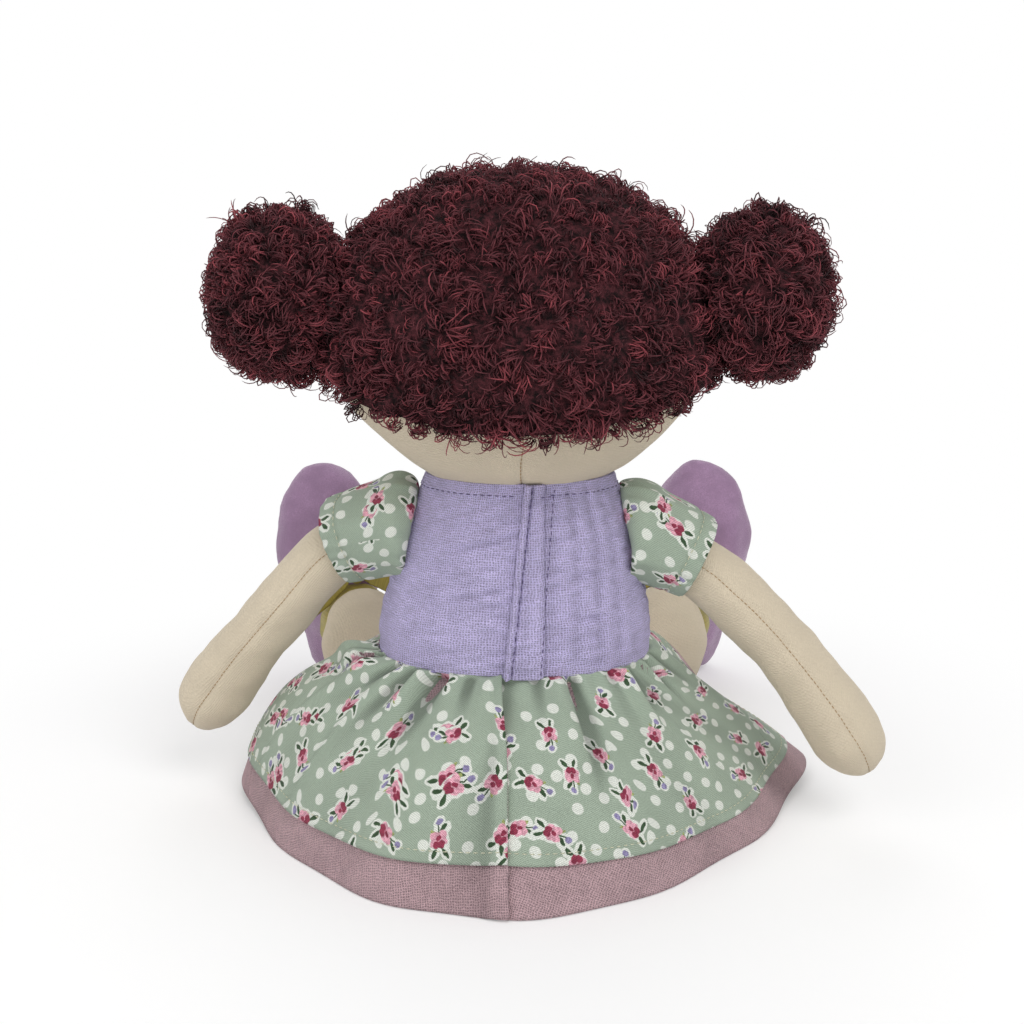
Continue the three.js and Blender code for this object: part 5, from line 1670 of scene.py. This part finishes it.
class DOLL_OT_head(bpy.types.Operator):
    """Stuff the head and embroider a plain face"""

    bl_idname = "doll.head"
    bl_label = "Head and face"

    def execute(self, context):
        head = remeshed("head_stuffed", "head", 0.0034, self.blushing())
        self.settle(head)
        stuff([head], cap=0.001)
        wrinkle(head, 0.3, 22, 9)
        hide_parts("head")
        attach(head, "head")
        angles = np.radians(np.linspace(-80, -12, 60))
        back = np.stack([-0.6 + 0 * angles, 60 * np.cos(angles), 195 + 60 * np.sin(angles)], axis=1)
        seam("head_back_seam", head, back, "head", depth=0.9, width=1.2, fill=0.85)
        for side, sign in SIDES.items():
            place = (sign * EYE_OUT, EYE_HEIGHT)
            self.satin(f"eye_{side}_threads", f"eye_{side}", head, place, 9, 11, "eye_thread", True)
            self.lashes(side, sign, head)
        self.satin("nose_threads", "nose", head, (0, NOSE_HEIGHT), 7, 5, "lip_thread", False)
        self.mouth(head)
        return {"FINISHED"}

    def settle(self, head):
        """Let the underside of the head sink into the neckline by its own weight."""
        points = points_of(head)
        low = smoothstep(points[:, 2], 178, 150)
        points[:, 0] *= 1 - 0.06 * low
        points[:, 2] -= 6.5 * low
        set_points(head, points)

    def blushing(self):
        """The jersey, with a soft blush on the cheeks."""
        material = finish_of("jersey").copy()
        material.name = "cream_jersey_face"
        finish = Finish(material)
        color = finish.shader.inputs["Base Color"].links[0].from_socket
        axis = finish.axes(finish.coordinates())
        away = finish.math("ABSOLUTE", finish.math("SUBTRACT", axis[0], float(MIDDLE[0])))
        point = finish.node("ShaderNodeCombineXYZ", away, axis[1], axis[2]).outputs[0]
        cheek = (0.040, float(MIDDLE[1]) - 0.036, 0.178)
        length = finish.vector("DISTANCE", point, cheek, result="Value")
        share = finish.ramp(length, 0.019, 0.004, 0.0, 0.5)
        finish.color(finish.mix(share, color, linear(BLUSH)))
        return material

    def satin(self, name, node, head, middle, wide, tall, thread, upright):
        """An oval filled with close parallel threads."""
        pitch, rings, sides = 0.62, 9, 6
        span, reach = (wide, tall) if upright else (tall, wide)
        grids = []
        for place in np.arange(-span / 2 + pitch / 2, span / 2, pitch):
            half = reach / 2 * math.sqrt(max(0.02, 1 - (2 * place / span) ** 2))
            run = np.linspace(-half, half, rings)
            beside = np.full_like(run, place)
            x, up = (beside, run) if upright else (run, beside)
            x = middle[0] + x
            line = np.stack([x, FACE_FRONT + np.abs(x) * 0.12, middle[1] + up], axis=1)
            swell = 0.55 * np.sqrt(np.clip(1 - (np.abs(run) / (half + 0.01)) ** 4, 0, 1))
            laid = laid_on(head, line) - np.array([0, 1, 0]) * (swell[:, None] + 0.1)
            grids.append(tube_grid(laid, 0.36, 0.36, full_turn(sides)))
        piece = add_piece(name, grids, tube_faces(len(grids), rings, sides), finish_of(thread))
        close_ends(piece)
        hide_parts(node)
        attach(piece, "head")

    def lashes(self, side, sign, head):
        starts, ends = [], []
        for angle in (25, 55, 85):
            turn = math.radians(angle)
            out, up = math.cos(turn), math.sin(turn)
            starts.append([sign * (EYE_OUT + 4.6 * out), FACE_FRONT, EYE_HEIGHT + 5.6 * up])
            ends.append([sign * (EYE_OUT + 7.6 * out), FACE_FRONT + 1, EYE_HEIGHT + 8.4 * up])
        starts, ends = laid_on(head, starts, 0.2), laid_on(head, ends, 0.2)
        row = capsules(f"lashes_{side}", starts, ends, 0.28, finish_of("eye_thread"))
        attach(row, "head")

    def mouth(self, head):
        across = np.linspace(-1, 1, 15)
        up = MOUTH_HEIGHT + 4 * across**2
        line = np.stack([across * MOUTH_HALF_WIDTH, FACE_FRONT + 0 * across, up], axis=1)
        laid = laid_on(head, line, 0.25)
        slant = np.array([0, 0, 0.35])
        row = capsules("mouth_threads", laid[:-1] - slant, laid[1:] + slant, 0.42, finish_of("lip_thread"))
        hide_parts("mouth")
        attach(row, "head")


def close_ends(piece):
    form = bmesh.new()
    form.from_mesh(piece.data)
    bmesh.ops.holes_fill(form, edges=[edge for edge in form.edges if edge.is_boundary])
    bmesh.ops.recalc_face_normals(form, faces=form.faces)
    form.to_mesh(piece.data)
    form.free()


BUN_CENTRE = np.array([88.5, 8.0, 214.0])
HEAD_CENTRE = np.array([0.0, 0.0, 195.0])
# How much flatter the underside of a bun lies than its solid.
BUN_RISE = 0.07
# The pile's height above its backing, and how far its roots lie below the solid's face.
PILE_HEIGHT = 5.6
PILE_SINK = 4.4
ROOTS_TRIED = 9000
MOST_FIBRES_IN_A_MESH = 5400


def surface_points(node, count, chance, centre):
    """Random places on the outer side of a solid, with the way out at each."""
    mesh = bpy.data.objects[node].data
    mesh.calc_loop_triangles()
    points = points_of(bpy.data.objects[node])
    triangles = np.array([triangle.vertices for triangle in mesh.loop_triangles])
    a, b, c = (points[triangles[:, k]] for k in range(3))
    normals = np.cross(b - a, c - a)
    areas = np.linalg.norm(normals, axis=1) / 2
    middles = (a + b + c) / 3
    areas[((middles - centre) * normals).sum(axis=1) <= 0] = 0
    picked = chance.choice(len(areas), count, p=areas / areas.sum())
    u, v = chance.random((2, count, 1))
    flip = u + v > 1
    u, v = np.where(flip, 1 - u, u), np.where(flip, 1 - v, v)
    places = a[picked] + u * (b - a)[picked] + v * (c - a)[picked]
    return places, unit(unit(normals[picked]) * 0.6 + unit(places - centre) * 0.4)


def field(points, pitch, number, count=10):
    """A smooth random value at each point, from about -1 to 1."""
    return waves_through(points, count, pitch, 1.5, number) / math.sqrt(count * 0.5) / 1.6


def spread_out(places, outs, gap):
    """Keeps the places, in their order, that lie at least a gap from those kept before."""
    kept = []
    for number, place in enumerate(places):
        if not kept or np.linalg.norm(places[kept] - place, axis=1).min() > gap:
            kept.append(number)
    return places[kept], outs[kept]


# Where along a fibre its rings lie, and how thick it is there, with painted shade at its root and a painted
# highlight along its curl.
FIBRE_STEPS = np.array([0.0, 0.24, 0.40, 0.55, 0.70, 0.85, 1.0])
FIBRE_TAPER = np.array([0.8, 1.0, 1.0, 1.0, 0.95, 0.8, 0.3])
FIBRE_PAINTED_SHADE_AND_HIGHLIGHT = np.array([-0.42, -0.16, 0.02, 0.12, 0.12, 0.04, -0.04])
FIBRE_SIDES = 3


def each_fibre(of_lock, spread, chance):
    """One value per fibre, near its lock's."""
    return of_lock[:, None] + chance.normal(0, spread, (len(of_lock), sizes().lock_fibres))


def fibre_lines(places, outs, chance, hanging):
    """The line of each fibre, in locks that rise together and curl over, and a way across each."""
    count, fibres = len(places), sizes().lock_fibres
    first, second = cross_ways(outs, np.abs(outs[:, 2:3]) < 0.9)
    aim = field(places, 34, 3) * 2.6 + chance.normal(0, 1.3, count)
    tall = chance.uniform(0.78, 1.12, count) * np.where(chance.random(count) < 0.16, 1.3, 1.0)
    tall *= 1 + 0.2 * hanging
    length = each_fibre(tall, 0.10, chance) * PILE_HEIGHT * 2.2
    start = each_fibre(chance.uniform(0.0, 0.7, count), 0.32, chance)
    curl = each_fibre(chance.uniform(3.4, 7.4, count) * mix(1, 0.5, hanging), 0.9, chance)
    twist = each_fibre(chance.normal(0, 1.0, count), 0.6, chance)
    turn = each_fibre(aim, 0.55, chance)
    lean = first[:, None] * np.cos(turn)[..., None] + second[:, None] * np.sin(turn)[..., None]
    cross = np.cross(outs[:, None], lean)
    # The roots fill a small disc, and the fibres draw together towards their tips.
    ring = 2 * math.pi * chance.random((count, fibres))
    reach = sizes().lock_radius / MM * np.sqrt(chance.random((count, fibres)))
    root = first[:, None] * (reach * np.cos(ring))[..., None]
    root = root + second[:, None] * (reach * np.sin(ring))[..., None]
    bend = start[..., None] + curl[..., None] * smoothstep(FIBRE_STEPS, 0.05, 1.1)
    roll = twist[..., None] * FIBRE_STEPS
    along = np.cos(bend)[..., None] * outs[:, None, None]
    along = along + (np.sin(bend) * np.cos(roll))[..., None] * lean[:, :, None]
    along = along + (np.sin(bend) * np.sin(roll))[..., None] * cross[:, :, None]
    steps = np.diff(FIBRE_STEPS)[None, None, :, None] * length[..., None, None]
    path = np.cumsum((along[:, :, 1:] + along[:, :, :-1]) / 2 * steps, axis=2)
    line = np.concatenate([np.zeros_like(path[:, :, :1]), path], axis=2)
    gather = mix(1, 0.6, smoothstep(FIBRE_STEPS, 0.1, 0.8))
    line = line + root[:, :, None] * gather[None, None, :, None]
    lump = 1.1 * field(places, 15, 7) - PILE_SINK
    line = line + (places + outs * lump[:, None])[:, None, None]
    return line.reshape(count * fibres, len(FIBRE_STEPS), 3), cross.reshape(count * fibres, 1, 3)


def locks(name, places, outs, chance, loose):
    """A mesh of locks of fine fibres. loose says how far the underside's hang straight, as wisps."""
    hanging = loose * smoothstep(-outs[:, 2], 0.3, 0.65)
    line, cross = fibre_lines(places, outs, chance, hanging)
    tangents = unit(np.gradient(line, axis=1))
    side = unit(np.cross(tangents, cross + 0.01))
    up = np.cross(tangents, side)
    radius = sizes().yarn / MM * chance.uniform(0.75, 1.25, len(line))
    turns = full_turn(FIBRE_SIDES)[None, None, :, None]
    ring = np.cos(turns) * side[:, :, None] + np.sin(turns) * up[:, :, None]
    points = line[:, :, None] + ring * (radius[:, None] * FIBRE_TAPER[None])[..., None, None]
    points[..., 2] = np.maximum(points[..., 2], 1)
    faces = tube_faces(len(line), len(FIBRE_STEPS), FIBRE_SIDES)
    piece = add_piece(name, points, faces, finish_of("hair"))
    # Each lock has its own random tone; the hanging wisps are lightened as painted light, though they hang
    # in shade under the hair.
    of_lock = chance.uniform(0.22, 0.72, len(places)) + 0.14 * hanging
    values = each_fibre(of_lock, 0.11, chance).reshape(-1, 1) + FIBRE_PAINTED_SHADE_AND_HIGHLIGHT
    attribute = piece.data.attributes.new("shade", "FLOAT", "POINT")
    attribute.data.foreach_set("value", np.repeat(values, FIBRE_SIDES, axis=1).ravel())
    return piece


class DOLL_OT_hair(bpy.types.Operator):
    """Cover the cap and the two buns with curled pile"""

    bl_idname = "doll.hair"
    bl_label = "Hair"

    def execute(self, context):
        backing = remeshed("hair_backing", "hair_cap", 0.003, finish_of("backing"))
        self.draw_in(backing, 3.0)
        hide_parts("hair_cap")
        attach(backing, "head")
        chance = seed(31)
        self.grow("hair_locks", "hair_cap", HEAD_CENTRE, chance)
        for side, sign in SIDES.items():
            core = remeshed(f"bun_{side}_stuffed", f"bun_{side}", 0.0028, finish_of("backing"))
            self.draw_in(core, 3.8)
            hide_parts(f"bun_{side}")
            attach(core, "head")
            self.grow(f"bun_{side}_locks", f"bun_{side}", BUN_CENTRE * [sign, 1, 1], chance)
        return {"FINISHED"}

    def draw_in(self, piece, depth):
        """Set the backing below the pile that stands on it."""
        set_points(piece, points_of(piece) - normals_of(piece) * depth)
        wrinkle(piece, 0.6, 9, 4)

    def grow(self, name, node, centre, chance):
        places, outs = surface_points(node, ROOTS_TRIED, chance, centre)
        places, outs = spread_out(places, outs, sizes().lock_gap / MM)
        on_cap = float(node == "hair_cap")
        places[:, 2] += BUN_RISE * np.maximum(0, centre[2] - places[:, 2]) * (1 - on_cap)
        parts = math.ceil(len(places) * sizes().lock_fibres / MOST_FIBRES_IN_A_MESH)
        for number in range(parts):
            piece = locks(f"{name}_{number}", places[number::parts], outs[number::parts], chance, on_cap)
            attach(piece, "head")


SOLE_HALF_WIDTHS = (20, 31.5)
SOLE_HALF_LENGTH = 55.5
SOLE_SEAM_IN = 4.5
SOLE_FROM_ANKLE = 41.1
# How wide the shoe is against height, as a share of its solid: it narrows above a round heel.
heel_share = through([(3, 1.0), (13, 0.80), (27, 0.70), (44, 0.84), (62, 1.0)])


class DOLL_OT_shoes(bpy.types.Operator):
    """Stuff the velour shoes and sew on their soles"""

    bl_idname = "doll.shoes"
    bl_label = "Shoes"

    def execute(self, context):
        velour = finish_of("velour")
        shoes = {side: remeshed(f"shoe_{side}_stuffed", f"shoe_{side}", 0.0028, velour) for side in SIDES}
        stuff(list(shoes.values()))
        for side, shoe in shoes.items():
            self.narrow_heel(shoe, side)
            wrinkle(shoe, 0.7, 20, 12 + SIDES[side])
            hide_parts(f"shoe_{side}")
            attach(shoe, f"leg_{side}")
            sole = remeshed(f"sole_{side}_velour", f"sole_{side}", 0.0018, velour)
            refine(sole)
            self.narrow_heel(sole, side)
            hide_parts(f"sole_{side}")
            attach(sole, f"leg_{side}")
            self.sole_stitches(side, sole)
        return {"FINISHED"}

    def narrow_heel(self, piece, side):
        """Round the heel off towards the floor."""
        points = points_of(piece)
        _, end = leg_ends(side)
        sideways = np.cross(leg_direction(side), [0, 0, 1])
        across = (points - end) @ sideways
        push = (heel_share(points[:, 2]) - 1) * across
        set_points(piece, points + push[:, None] * sideways)

    def sole_stitches(self, side, sole):
        """The seam a little inside the sole's edge, which is narrower at the heel than at the toe."""
        turns = np.append(full_turn(120), 2 * math.pi)
        width = mix(*SOLE_HALF_WIDTHS, (1 + np.sin(turns)) / 2) - SOLE_SEAM_IN
        rise = SOLE_HALF_LENGTH - ANKLE_HEIGHT + (SOLE_HALF_LENGTH - SOLE_SEAM_IN) * np.sin(turns)
        across = width * np.cos(turns) * heel_share(rise + ANKLE_HEIGHT)
        ring = laid_on(sole, ankle_place(side, across, SOLE_FROM_ANKLE, rise), 0.1)
        thread = finish_of("seam_thread")
        stitches(f"sole_stitches_{side}", ring, thread, f"leg_{side}", pitch=3.2, fill=0.6, radius=0.28)


def ankle_place(side, across, along, up):
    """Points by their place across, along and above the ankle."""
    _, end = leg_ends(side)
    direction = leg_direction(side)
    sideways = np.cross(direction, [0, 0, 1])
    across, along, up = np.broadcast_arrays(across, along, up)
    return end + across[..., None] * sideways + along[..., None] * direction + up[..., None] * UPRIGHT


class DOLL_OT_ribbons(bpy.types.Operator):
    """Tie a ribbon and a bow round each ankle"""

    bl_idname = "doll.ribbons"
    bl_label = "Ribbons and bows"

    # The band's radius, and how far above the ankle's middle the bow is tied.
    RADIUS = 18.4
    BOW_UP = 24.0

    def execute(self, context):
        for side in SIDES:
            self.band(side)
            self.bow(side)
            self.knot(side)
        return {"FINISHED"}

    def finish_sheet(self, piece, node, side, flat, held):
        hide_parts(node)
        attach(piece, f"leg_{side}")

    def band(self, side):
        turns = full_turn(96)
        widths = np.linspace(-5, 5, 12)
        turn, width = np.meshgrid(turns, widths)
        ripple = 0.3 * np.cos(5 * turn + width * 0.3) + 0.2 * np.cos(11 * turn)
        radius = self.RADIUS + ripple + 0.25 * np.cos(width * 0.5)
        grid = ankle_place(side, radius * np.cos(turn), width - 5.3, radius * np.sin(turn))
        around, along = np.meshgrid(np.append(turns, 2 * math.pi) * self.RADIUS, widths)
        flat = np.stack([around, along], axis=-1)
        piece = cloth(f"ankle_ribbon_{side}_band", grid, flat, 0.5, finish_of("ribbon"), wrap=True)
        self.finish_sheet(piece, f"ankle_ribbon_{side}", side, BAND_FLAT, "stretched")

    def bow_place(self, side, x, y, out):
        """Points of the bow's own plane: x across, y up, out towards the knee; it leans back a little."""
        lean = math.radians(22)
        up = self.BOW_UP + y * math.cos(lean) + out * math.sin(lean)
        along = -5.0 - out * math.cos(lean) + y * math.sin(lean)
        return ankle_place(side, -x, along, up)

    def bow(self, side):
        pieces = []
        for sign in (1, -1):
            for grid, flat in (self.loop(side, sign), self.tail(side, sign)):
                name = f"bow_{side}_part_{len(pieces)}"
                pieces.append(cloth(name, grid, flat, 0.45, finish_of("ribbon")))
        choose(pieces)
        bpy.ops.object.join()
        bow = bpy.context.object
        bow.name = bow.data.name = f"bow_{side}_ribbon"
        self.finish_sheet(bow, f"bow_{side}", side, BOW_FLAT, "folded")

    def strip(self, rows):
        """How far along a strip of ribbon its points lie, and how far across, from -1 to 1."""
        return np.meshgrid(np.linspace(0, 1, rows), np.linspace(-1, 1, 10), indexing="ij")

    def loop(self, side, sign):
        share, width = self.strip(48)
        rise = math.radians(40)
        reach = 24 * np.sin(math.pi * share) ** 0.75
        half = 1.6 + 4.6 * np.sin(math.pi * share) ** 0.8
        depth = 3.4 * np.sin(2 * math.pi * share) + 0.7 * np.cos(width * 2.5) * np.sin(math.pi * share)
        bend = width * half + 0.8 * np.sin(3 * math.pi * share)
        x = sign * (2.5 + reach * math.cos(rise) - bend * math.sin(rise))
        y = reach * math.sin(rise) + bend * math.cos(rise)
        grid = self.bow_place(side, x, y, depth)
        flat = np.stack([share * 68, width * 5], axis=-1)
        return grid, flat

    def tail(self, side, sign):
        share, width = self.strip(30)
        drop = math.radians(-28)
        notch = 3.2 * (1 - np.abs(width)) * share**4
        reach = 27 * share - notch
        half = 1.6 + 3.0 * smoothstep(share, 0, 0.5)
        depth = -0.8 + 1.6 * np.sin(share * 4.0 + sign) * share
        x = sign * (2.5 + reach * math.cos(drop) - width * half * math.sin(drop))
        y = reach * math.sin(drop) + width * half * math.cos(drop)
        # The tails lie on the band and never inside it.
        y = np.maximum(y, np.sqrt(np.maximum(0, (self.RADIUS + 1) ** 2 - x**2)) - self.BOW_UP)
        grid = self.bow_place(side, x, y, depth)
        flat = np.stack([share * 30 + 80, width * 4.5], axis=-1)
        return grid, flat

    def knot(self, side):
        turns, rows = full_turn(40), np.linspace(-1, 1, 22)
        turn, row = np.meshgrid(turns, rows)
        swell = np.sqrt(np.clip(1 - row**2 * 0.82, 0, 1))
        crease = 0.3 * np.cos(7 * turn + 2 * row)
        high, deep = (4.2 + crease) * swell, (3.6 + crease) * swell
        x = row * 3.3
        grid = self.bow_place(side, x, high * np.sin(turn), deep * np.cos(turn))
        around, along = np.meshgrid(np.append(turns, 2 * math.pi) * 4, rows * 3.3)
        piece = add_closed_tube(f"bow_knot_{side}_ribbon", grid, np.stack([around, along], axis=-1))
        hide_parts(f"bow_knot_{side}")
        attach(piece, f"leg_{side}")


def add_closed_tube(name, grid, flat):
    """Rings closed to a solid, with the cut's places on its faces."""
    rows, columns = grid.shape[:2]
    index = closed(np.arange(rows * columns).reshape(rows, columns))
    places = np.arange(index.size).reshape(index.shape)
    faces, spots = (cell_corners(table).reshape(-1, 4) for table in (index, places))
    piece = add_piece(name, grid, faces, finish_of("ribbon"), flat.reshape(-1, 2)[spots])
    close_ends(piece)
    return piece


class DOLL_PT_panel(bpy.types.Panel):
    """Lists the doll's pieces in the order in which they are made"""

    bl_idname = "DOLL_PT_panel"
    bl_label = "Rag doll"
    bl_space_type = "VIEW_3D"
    bl_region_type = "UI"
    bl_category = "Rag doll"

    def draw(self, context):
        for operator in OPERATORS:
            self.layout.operator(operator.bl_idname)
        for group in (context.scene.doll_sizes, context.scene.doll_colors):
            for name in group.__annotations__:
                self.layout.prop(group, name)


OPERATORS = (
    DOLL_OT_stage,
    DOLL_OT_body,
    DOLL_OT_head,
    DOLL_OT_shoes,
    DOLL_OT_ribbons,
    DOLL_OT_bodice,
    DOLL_OT_sleeves,
    DOLL_OT_skirt,
    DOLL_OT_hair,
)
CLASSES = (DollSizes, DollColors, *OPERATORS, DOLL_PT_panel)


def register():
    for kind in CLASSES:
        bpy.utils.register_class(kind)
    bpy.types.Scene.doll_sizes = PointerProperty(type=DollSizes)
    bpy.types.Scene.doll_colors = PointerProperty(type=DollColors)


def unregister():
    del bpy.types.Scene.doll_colors
    del bpy.types.Scene.doll_sizes
    for kind in reversed(CLASSES):
        bpy.utils.unregister_class(kind)


def main():
    register()
    bpy.ops.object.select_all(action="DESELECT")
    bpy.ops.doll.stage()
    bpy.ops.doll.body()
    bpy.ops.doll.head()
    bpy.ops.doll.shoes()
    bpy.ops.doll.ribbons()
    bpy.ops.doll.bodice()
    bpy.ops.doll.sleeves()
    bpy.ops.doll.skirt()
    bpy.ops.doll.hair()


if __name__ == "__main__":
    main()
